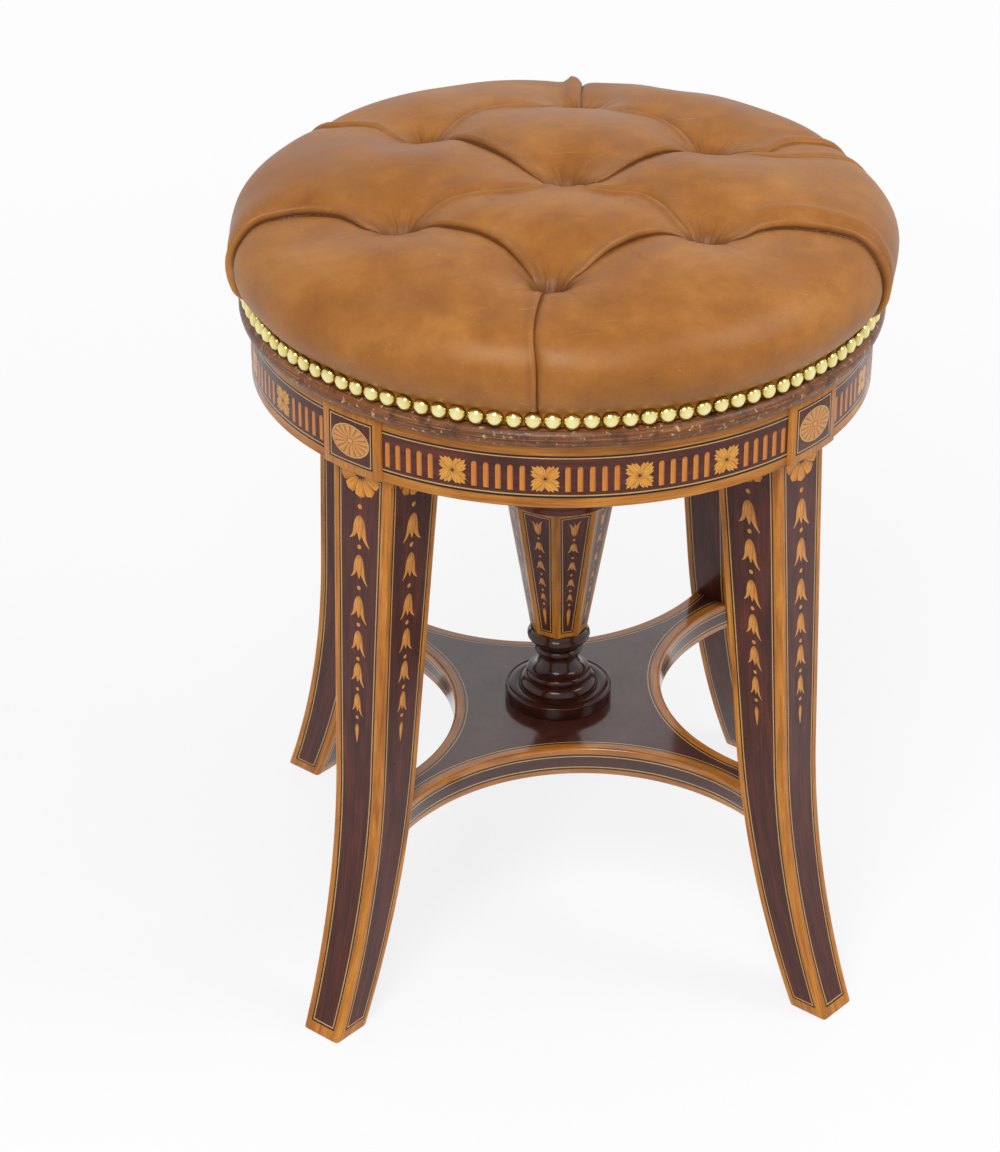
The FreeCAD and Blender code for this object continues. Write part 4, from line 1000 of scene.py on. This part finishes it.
def clothPuff():
    # an even sheet over the unrolled cushion, held at the tufts, folds and skirt, blown up from inside for some frames;
    # what comes back is how far each point of the sheet has moved, never more than the cap
    s = clothShape
    count = s["cells"] + 1
    line = np.linspace(-walkEnd, walkEnd, count)
    places = together(*np.meshgrid(line, line)).reshape(-1, 2)
    inside = np.hypot(*places.T) < walkEnd + 2
    quads = gridFaces(count, count, False)[0]
    quads = quads[inside[quads].all(1)]
    used = np.unique(quads)
    number = np.full(len(places), -1)
    number[used] = np.arange(len(used))
    start = cushionSurface(places[used], None)[0]
    mesh = bpy.data.meshes.new("cushionCloth")
    mesh.from_pydata((start / 1000).tolist(), [], number[quads].tolist())
    sheet = addObject("cushionCloth", mesh)
    held = np.clip((np.hypot(*places[used].T) - (walkEnd - 22)) / 8, 0, 1)
    for fold in foldSet:
        side, _, _, past, _ = nearFold(places[used], fold)
        held = np.maximum(held, min(fold["middle"] / 3, 1) * np.exp(-(np.hypot(side, past) / 5) ** 2))
    for tuft in tuftArray:
        held = np.maximum(held, np.exp(-(np.hypot(*(places[used] - tuft).T) / 9) ** 4))
    group = sheet.vertex_groups.new(name="held")
    for index in np.nonzero(held > 0.02)[0].tolist():
        group.add([index], float(held[index]), "REPLACE")
    cloth = sheet.modifiers.new("cloth", "CLOTH")
    c = cloth.settings
    c.quality, c.mass, c.air_damping = 6, 0.25, 2.0
    c.tension_stiffness = c.compression_stiffness = 14.0
    c.shear_stiffness, c.bending_stiffness = 4.0, 0.35
    c.use_pressure, c.uniform_pressure_force = True, s["pressure"]
    c.shrink_min = -s["spare"]
    c.vertex_group_mass = "held"
    c.effector_weights.gravity = 0.0
    cloth.collision_settings.use_collision = False
    cloth.point_cache.frame_start, cloth.point_cache.frame_end = 1, s["frames"]
    for step in range(1, s["frames"] + 1):
        bpy.context.scene.frame_set(step)
    ready = sheet.evaluated_get(bpy.context.evaluated_depsgraph_get()).to_mesh()
    ended = np.zeros(len(ready.vertices) * 3, np.float32)
    ready.vertices.foreach_get("co", ended)
    moved = ended.reshape(-1, 3) * 1000 - start
    bpy.data.objects.remove(sheet)
    bpy.context.scene.frame_set(1)
    size = np.linalg.norm(moved, axis=1, keepdims=True)
    print("cloth moved", round(float(size.mean()), 2), "on average and", round(float(size.max()), 2), "at most")
    moved *= np.minimum(1, s["cap"] / np.maximum(size, 1e-6))
    field, free = np.zeros((count * count, 3)), np.zeros((count * count, 1))
    field[used], free[used, 0] = moved, 1 - np.clip(held, 0, 1) ** 2
    field = field.reshape(count, count, 3)
    for axis in (0, 1) * s["smoothing"]:
        field = (np.roll(field, 1, axis) + 2 * field + np.roll(field, -1, axis)) / 4
    return field * free.reshape(count, count, 1)


def fromField(field, places):
    # the field read between its points, as a share of each of the four nearest
    n = field.shape[0] - 1
    at = np.clip((places / walkEnd + 1) / 2 * n, 0, n - 1e-6)
    k = at.astype(int)
    share = at - k
    share = share * share * (3 - 2 * share) * 0.5 + share * 0.5
    u, v = share[:, :1], share[:, 1:]

    def read(i, j):
        return field[k[:, 1] + j, k[:, 0] + i]
    return read(0, 0) * (1 - u) * (1 - v) + read(1, 0) * u * (1 - v) + read(0, 1) * (1 - u) * v + read(1, 1) * u * v


def foldsAt(places):
    # of all folds together: cubes of the depths, highest lip, painted shade along the creases, and how far a lip leans
    # over its crease
    low, high, dark = np.zeros((3, len(places)))
    hang = np.zeros((len(places), 2))
    for fold in foldSet:
        near = closeTo(places, fold, 34)
        side, fromStart, fromEnd, past, toLip = nearFold(places[near], fold)
        relief = foldRelief(side, fromStart, fromEnd, past, fold)
        low[near] += np.maximum(-relief, 0) ** 3
        high[near] = np.maximum(high[near], relief)
        # painted shade: a dark line in the crease, a softer band beside it and a faint band in the hollow past the lip
        line = np.exp(-(side / 0.42) ** 2) + 0.2 * np.exp(-((side + 0.6) / 2.2) ** 2)
        line += 0.22 * np.exp(-((side - fold["width"] - 2) / 1.4) ** 2)
        line = fold["dark"] * np.clip(line, 0, 1) * np.exp(-(past / 2) ** 2)
        dark[near] = np.maximum(dark[near], line)
        lean = cushionShape["overhang"] * math.sqrt(fold["height"] / 2.6)
        lean = lean * np.sin(np.pi / 2 * np.clip(side / fold["width"], 0, 2)) * (1 - np.exp(-(fromStart / 12) ** 2))
        hang[near] -= toLip * np.where((side > 0) & (past == 0), lean, 0)[:, None]
    return low, high, dark, hang


def tuftsAt(places, low, dark):
    # each tuft adds a narrow well, a broad dip that is wider behind it, ripples round it, and painted shade in its well
    # that reaches further behind
    s = cushionShape
    for px, py in tuftArray:
        dx, dy = places[:, 0] - px, places[:, 1] - py
        dist, turn = np.hypot(dx, dy), np.arctan2(dy, dx)
        behind = 0.5 + 0.5 * np.sin(turn)
        width = s["broadWidth"] * (0.42 + 0.58 * behind)
        deep = s["wellDepth"] * np.exp(-(dist / s["wellWidth"]) ** 2.2)
        deep = deep + s["broadDepth"] * (0.3 + 0.7 * behind) * np.exp(-(dist / width) ** 1.6)
        wave = np.cos(turn * 13 + px) * 0.5 + np.cos(turn * 19 + py) * 0.4
        deep = deep + s["ripples"] * wave * (0.35 + 0.65 * behind) * np.exp(-((dist - 15) / 8) ** 2)
        low = low + np.maximum(deep, 0) ** 3
        # painted shade in the tuft's well, wider behind it
        dark = np.maximum(dark, 0.75 * np.exp(-(dist / (9 + 5 * behind)) ** 4))
    return low, dark


def cushionSurface(places, puff):
    # places on the unrolled cushion become points: the profile, moved square to itself by the relief of the tufts, the
    # folds and long low swells, which dies away under the nails; also the painted shade of the creases and the tufts'
    # wells, and the relief
    low, high, dark, hang = foldsAt(places)
    low, dark = tuftsAt(places, low, dark)
    walked = np.hypot(*places.T)
    relief = high * np.exp(-low ** (1 / 3) / 12) - low ** (1 / 3)
    sway = np.sin(places[:, 0] / 31 + 1.3 * np.sin(places[:, 1] / 47)) * np.sin(places[:, 1] / 23 + 0.7)
    relief = relief + cushionShape["sway"] * sway
    relief = relief - clothShape["startBelow"] * np.clip((walkEnd - 20 - walked) / 30, 0, 1)
    swell = 0 if puff is None else fromField(puff, places)
    fade = np.clip((walkEnd - 6 - walked) / 14, 0, 1)
    fade = fade * fade * (3 - 2 * fade)
    relief = relief * (0.3 + 0.7 * fade)
    places = places + hang * fade[:, None]
    walked, angle = np.hypot(*places.T), np.arctan2(places[:, 1], places[:, 0])
    step = 0.6
    (radius, height), ahead, behind = (
        [np.interp(np.maximum(walked + way, 0), walkMarks, line) for line in (walkRadius, walkHeight)]
        for way in (0, step, -step))
    slopeR, slopeZ = np.subtract(ahead, behind)
    size = np.maximum(np.hypot(slopeR, slopeZ), 1e-9)
    radius, height = radius - relief * slopeZ / size, height + relief * slopeR / size
    return together(radius * np.cos(angle), radius * np.sin(angle), height) + swell, dark, relief


def leatherFinish():
    # tanned hide: cloudy colour, pale specks, pale scratches, fine pores; a painted highlight on the rolled lips,
    # painted shade in the creases, the tufts' wells and the fine wrinkles
    finish = Finish("tannedLeather", Specular_IOR_Level=0.38, Specular_Tint=(1.0, 0.87, 0.68, 1))
    place = finish.objectPlace()
    cloud = finish.noise(place, 11.0, 5.0, 0.6, 0.4)
    blotch = finish.noise(place, 46.0, 5.0, 0.65)
    hide = finish.ramp(finish.mix(0.45, cloud, blotch), (0.32, tint(131, 78, 30)), (0.5, tint(154, 96, 39)),
                       (0.68, tint(176, 117, 54)))
    specks = finish.grade(finish.noise(place, 900.0, 2.0), 0.66, 0.72, 0.0, 0.5)
    specks = finish.calc("MULTIPLY", specks, finish.grade(finish.noise(place, 60.0, 2.0), 0.5, 0.65, 0.0, 1.0))
    scratch = finish.noise(finish.scaled(place, 30, 420, 200), 1.0, 2.0, 0.5, 1.5)
    # wrinkles run out from each tuft: noise on the direction from it, stretched along the distance
    fromTuft = finish.add("Attribute", output=1, attribute_name="tuftPlace")
    way = finish.add("VectorMath", {0: fromTuft}, operation="NORMALIZE")
    dist = finish.add("VectorMath", {0: fromTuft}, 1, operation="LENGTH")
    ring = finish.add("CombineXYZ", {2: finish.calc("MULTIPLY", dist, 0.35)})
    way = finish.add("VectorMath", {0: way, 3: 5.2}, operation="SCALE")
    ring = finish.add("VectorMath", {0: way, 1: ring}, operation="ADD")
    wrinkles = finish.grade(finish.noise(ring, 1.0, 3.0, 0.6, 0.3), 0.36, 0.52, 1.0, 0.0)
    for low, high, share in ((0.5, 1.0, (0.0, 1.0)), (1.2, 2.9, (1.0, 0.0))):
        wrinkles = finish.calc("MULTIPLY", wrinkles, finish.grade(dist, low, high, *share))
    # the second attribute is a painted highlight on the rolled lips of the folds
    crease, lipHighlight = (finish.add("Attribute", output=2, attribute_name=name) for name in ("crease", "lipHighlight"))
    # the wrinkle lines are painted darker, as painted shade in their grooves
    for share, colour in ((specks, tint(216, 166, 116)),
                          (finish.grade(scratch, 0.72, 0.76, 0.0, 0.3), tint(210, 158, 108)),
                          (finish.calc("MULTIPLY", lipHighlight, 0.55), tint(200, 138, 66)), (crease, tint(70, 34, 13)),
                          (finish.calc("MULTIPLY", wrinkles, 0.55), tint(104, 56, 20))):
        hide = finish.mix(share, hide, colour)
    finish.colour(hide)
    finish.rough(finish.grade(blotch, 0.3, 0.7, 0.38, 0.5))
    pores = finish.add("TexVoronoi", {"Vector": place, "Scale": 900.0}, feature="F1")
    pebble = finish.noise(place, 520.0, 4.0, 0.6)
    height = finish.calc("SUBTRACT", finish.mix(0.5, pebble, pores), finish.calc("MULTIPLY", wrinkles, 3.0))
    finish.bump(height, 0.00022, 0.35)
    return finish.material


def meshPoints(mesh):
    # every point of the mesh as one array
    points = np.empty(len(mesh.vertices) * 3, np.float32)
    mesh.vertices.foreach_get("co", points)
    return points.reshape(-1, 3).astype(float)


def addValues(mesh, name, values):
    # a number or a vector for each point of the mesh, for a material to read
    kind, socket = ("FLOAT", "value") if values.ndim == 1 else ("FLOAT_VECTOR", "vector")
    mesh.attributes.new(name, kind, "POINT").data.foreach_set(socket, values.astype(np.float32).ravel())


def onDisc(points):
    # the square from -1 to 1 pressed into the unrolled cushion's disc, straight lines becoming arcs of ellipses
    u, v = points[:, 0], points[:, 1]
    return together(u * np.sqrt(1 - v**2 / 2), v * np.sqrt(1 - u**2 / 2)) * walkEnd


def squareMesh():
    # a flat square; cells near a fold are split, and split again at its crease, so that a lip gets several rows of its
    # own; its border goes down three steps and is filled, which makes a closed body
    count = cushionShape["cells"] + 1
    line = np.linspace(-1, 1, count)
    flat = together(*np.meshgrid(line, line), 0).reshape(-1, 3)
    mesh = bpy.data.meshes.new("tufted_cushion")
    mesh.from_pydata(flat.tolist(), [], gridFaces(count, count, False)[0].tolist())
    work = bmesh.new()
    work.from_mesh(mesh)
    marks = np.concatenate([fold["line"] for fold in foldSet])[::2]
    for reach, atTuft in ((13, 20), (6.5, -9)):
        work.to_mesh(mesh)
        places = onDisc(meshPoints(mesh))
        nearest = np.full(len(places), 1e9)
        for spots, less in ((marks, 0), (tuftArray, atTuft)):
            for spot in spots:
                nearest = np.minimum(nearest, np.hypot(*(places - spot).T) - less)
        close = nearest < reach
        edges = [edge for edge in work.edges if all(close[vert.index] for vert in edge.verts)]
        bmesh.ops.subdivide_edges(work, edges=edges, cuts=1, use_grid_fill=True)
    edges = [edge for edge in work.edges if edge.is_boundary]
    for step in range(3):
        made = bmesh.ops.extrude_edge_only(work, edges=edges)["geom"]
        verts = [item for item in made if isinstance(item, bmesh.types.BMVert)]
        bmesh.ops.translate(work, verts=verts, vec=(0, 0, -1))
        edges = [item for item in made if isinstance(item, bmesh.types.BMEdge) and item.is_boundary]
    bmesh.ops.holes_fill(work, edges=edges, sides=0)
    bmesh.ops.recalc_face_normals(work, faces=work.faces)
    # faces in one fixed order, each run
    work.verts.index_update()
    work.faces.sort(key=lambda face: sum((vert.index + 1) ** 1.5 for vert in face.verts))
    work.to_mesh(mesh)
    work.free()
    return mesh


def makeCushion(puff):
    # the square's points go where the cushion's surface is; its lower rows turn in under the edge and over the board
    s = cushionShape
    mesh = squareMesh()
    flat = meshPoints(mesh)
    places = gatherRows(onDisc(flat))
    points, dark, relief = cushionSurface(places, puff)
    points = turned(points, seatTurn)
    under = ((s["boardRadius"], s["skirtLow"]), (s["boardRadius"], s["boardTop"]), (s["underRadius"], s["boardTop"]))
    for level, (radius, height) in enumerate(under, 1):
        ring = flat[:, 2].round() == -level
        points[ring, :2] *= radius / np.hypot(*points[ring, :2].T)[:, None]
        points[ring, 2] = height
    mesh.vertices.foreach_set("co", (points / 1000).astype(np.float32).ravel())
    mesh.update()
    # the painted shade of the creases and the tufts' wells, which darkens the leather's colour
    addValues(mesh, "crease", dark)
    # painted highlight: the rolled lips of the folds are painted lighter where they rise
    addValues(mesh, "lipHighlight", np.clip((relief - 0.8) / 1.5, 0, 1))  # the rolled lips of the folds are lighter
    # centimetres from the nearest tuft, for the fine wrinkles round it
    away = places[:, None] - tuftArray
    nearest = np.argmin(np.hypot(away[..., 0], away[..., 1]), axis=1)
    away = away[np.arange(len(places)), nearest] / 10
    addValues(mesh, "tuftPlace", together(away[:, 0], away[:, 1], 0))
    mesh.shade_smooth()
    mesh.materials.append(leather)
    cushion = addObject("tufted_cushion", mesh)
    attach(cushion, "seat")
    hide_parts("leather_cover", "seat_stuffing")
    print("cushion made,", len(mesh.polygons), "faces")


leather = leatherFinish()
puff = clothPuff()
makeCushion(puff)

buttonShape = {"radius": 6.6, "edge": 1.2, "height": 3.4, "above": 0.1, "shade": 0.62}


def buttonGrids():
    # a low dome, a quarter of an ellipse turned, on a short upright edge, set on the floor of each tuft
    s = buttonShape
    radius, edge = s["radius"], s["edge"]
    rise = [(0.05, 0.0), (radius * 0.93, 0.0), (radius, 0.7)]
    rise += [(radius * math.cos(t), edge + (s["height"] - edge) * math.sin(t)) for t in np.linspace(0, math.pi / 2, 8)]
    rise[-1] = (0.05, s["height"])
    points, maps = revolve(rise, 28)
    floors = cushionSurface(tuftArray, puff)[0] + [0, 0, s["above"]]
    return [(points + floor, maps) for floor in floors]


buttonMesh = makePiece("covered_buttons", buttonGrids(), "seat", leather,
                       ["tuft_buttons"], turn=seatTurn, sharp=60)
# the covered buttons lie in the shade of their tufts
addValues(buttonMesh, "crease", np.full(len(buttonMesh.vertices), buttonShape["shade"]))
print("buttons made")


# the CAD nodes that stay, by finish
keptFinishes = [
    (beech, "cross_rail_lower cross_rail_upper seat_board"), (blockMahogany, "glue_blocks"),
    (iron, "nut_plate screw_flange foot_washer"), (twineFinish, "tuft_twines"),
    (steel, "nut_plate_screws capital_screws flange_screws rim_screws foot_screw stop_washer end_nut"),
]
for finish, names in keptFinishes:
    for name in names.split():
        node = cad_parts[name]
        if not node.data.materials:
            node.data.materials.append(finish)
        for slotEntry in node.material_slots:
            slotEntry.material = finish
print("kept parts finished")


stageSetup = {
    "worldLight": 0.46, "skyFall": (0.52, 0.8, 1.0, 0.1), "glow": (0.992, 0.992, 1.0, 1), "glowNear": 0.8,
    "glowFar": 0.97, "lampSize": 0.8, "lampAim": (0, 0, 0.4),
    "lamps": {"keyLamp": ((-0.41, -1.33, 1.89), 24.0), "fillLamp": ((1.32, -0.43, 1.89), 13.0)},
}


def makeFloor():
    # the camera sees the floor glow, least near the stool so that its shadow stays
    mesh = bpy.data.meshes.new("floor")
    mesh.from_pydata([(-9, -9, 0), (9, -9, 0), (9, 9, 0), (-9, 9, 0)], [], [(0, 1, 2, 3)])
    floor = addObject("floor", mesh)
    finish = Finish("paleFloor", Roughness=0.55)
    finish.colour(finish.mix(finish.noise(finish.objectPlace(), 3.0), tint(250, 250, 252), tint(254, 254, 254)))
    glow = finish.add("Emission", {"Color": stageSetup["glow"], "Strength": 1.0})
    far = finish.add("VectorMath", {0: finish.objectPlace()}, 1, operation="LENGTH")
    path = finish.tree.nodes.new("ShaderNodeLightPath").outputs
    seen = finish.calc("MAXIMUM", path["Is Camera Ray"], path["Is Glossy Ray"])
    share = finish.calc("MULTIPLY", seen, finish.grade(far, 0.25, 1.3, stageSetup["glowNear"], stageSetup["glowFar"]))
    both = finish.add("MixShader", {0: share, 1: finish.shader.outputs[0], 2: glow})
    finish.tree.links.new(both, finish.tree.nodes["Material Output"].inputs["Surface"])
    mesh.materials.append(finish.material)


def makeWorld():
    # white for the camera, dim for the light on the object; a glossy ray finds the sky bright low down, dim overhead
    world = bpy.data.worlds.new("studio")
    bpy.context.scene.world = world
    world.use_nodes = True
    sky = Nodes(world.node_tree)
    sky.tree.nodes.clear()
    dim = sky.add("Background", {0: (1, 1, 1, 1), 1: stageSetup["worldLight"]})
    bright = sky.add("Background", {0: stageSetup["glow"], 1: 1.0})
    path = sky.tree.nodes.new("ShaderNodeLightPath").outputs
    height = sky.add("SeparateXYZ", {0: sky.add("TexCoord")}, 2)
    shiny = sky.calc("MULTIPLY", path["Is Glossy Ray"], sky.grade(height, *stageSetup["skyFall"]))
    clear = sky.calc("MAXIMUM", path["Is Camera Ray"], path["Is Transmission Ray"])
    both = sky.add("MixShader", {0: sky.calc("MAXIMUM", shiny, clear), 1: dim, 2: bright})
    sky.tree.links.new(both, sky.tree.nodes.new("ShaderNodeOutputWorld").inputs[0])


def softLamp(name, place, power):
    # a square lamp turned towards its aim
    light = bpy.data.lights.new(name, "AREA")
    light.energy, light.size = power, stageSetup["lampSize"]
    lamp = addObject(name, light)
    lamp.location = place
    lamp.rotation_euler = (Vector(stageSetup["lampAim"]) - Vector(place)).to_track_quat("-Z", "Y").to_euler()


makeFloor()
makeWorld()
for name, (place, power) in stageSetup["lamps"].items():
    softLamp(name, place, power)

cameraSetup = {"place": (-0.1977, -2.0057, 1.3863), "heading": (0.0799, 0.9968), "pitch": -29.94, "roll": 0.0005,
               "lens": 116.78}


def makeCamera():
    # looks along the heading, tipped down by the pitch, then rolled about its own view
    s = cameraSetup
    p = math.radians(s["pitch"])
    look = Vector((s["heading"][0] * math.cos(p), s["heading"][1] * math.cos(p), math.sin(p))).normalized()
    right = look.cross(Vector((0, 0, 1))).normalized()
    up = right.cross(look)
    data = bpy.data.cameras.new("photoCamera")
    data.lens, data.sensor_width, data.sensor_fit = s["lens"], 36.0, "AUTO"
    data.clip_start, data.clip_end = 0.05, 60.0
    camera = addObject("photoCamera", data)
    turn = Matrix((right, up, -look)).transposed() @ Matrix.Rotation(s["roll"], 3, "Z")
    camera.matrix_world = Matrix.Translation(s["place"]) @ turn.to_4x4()
    bpy.context.scene.camera = camera


makeCamera()
bpy.context.scene.view_settings.view_transform = "Standard"
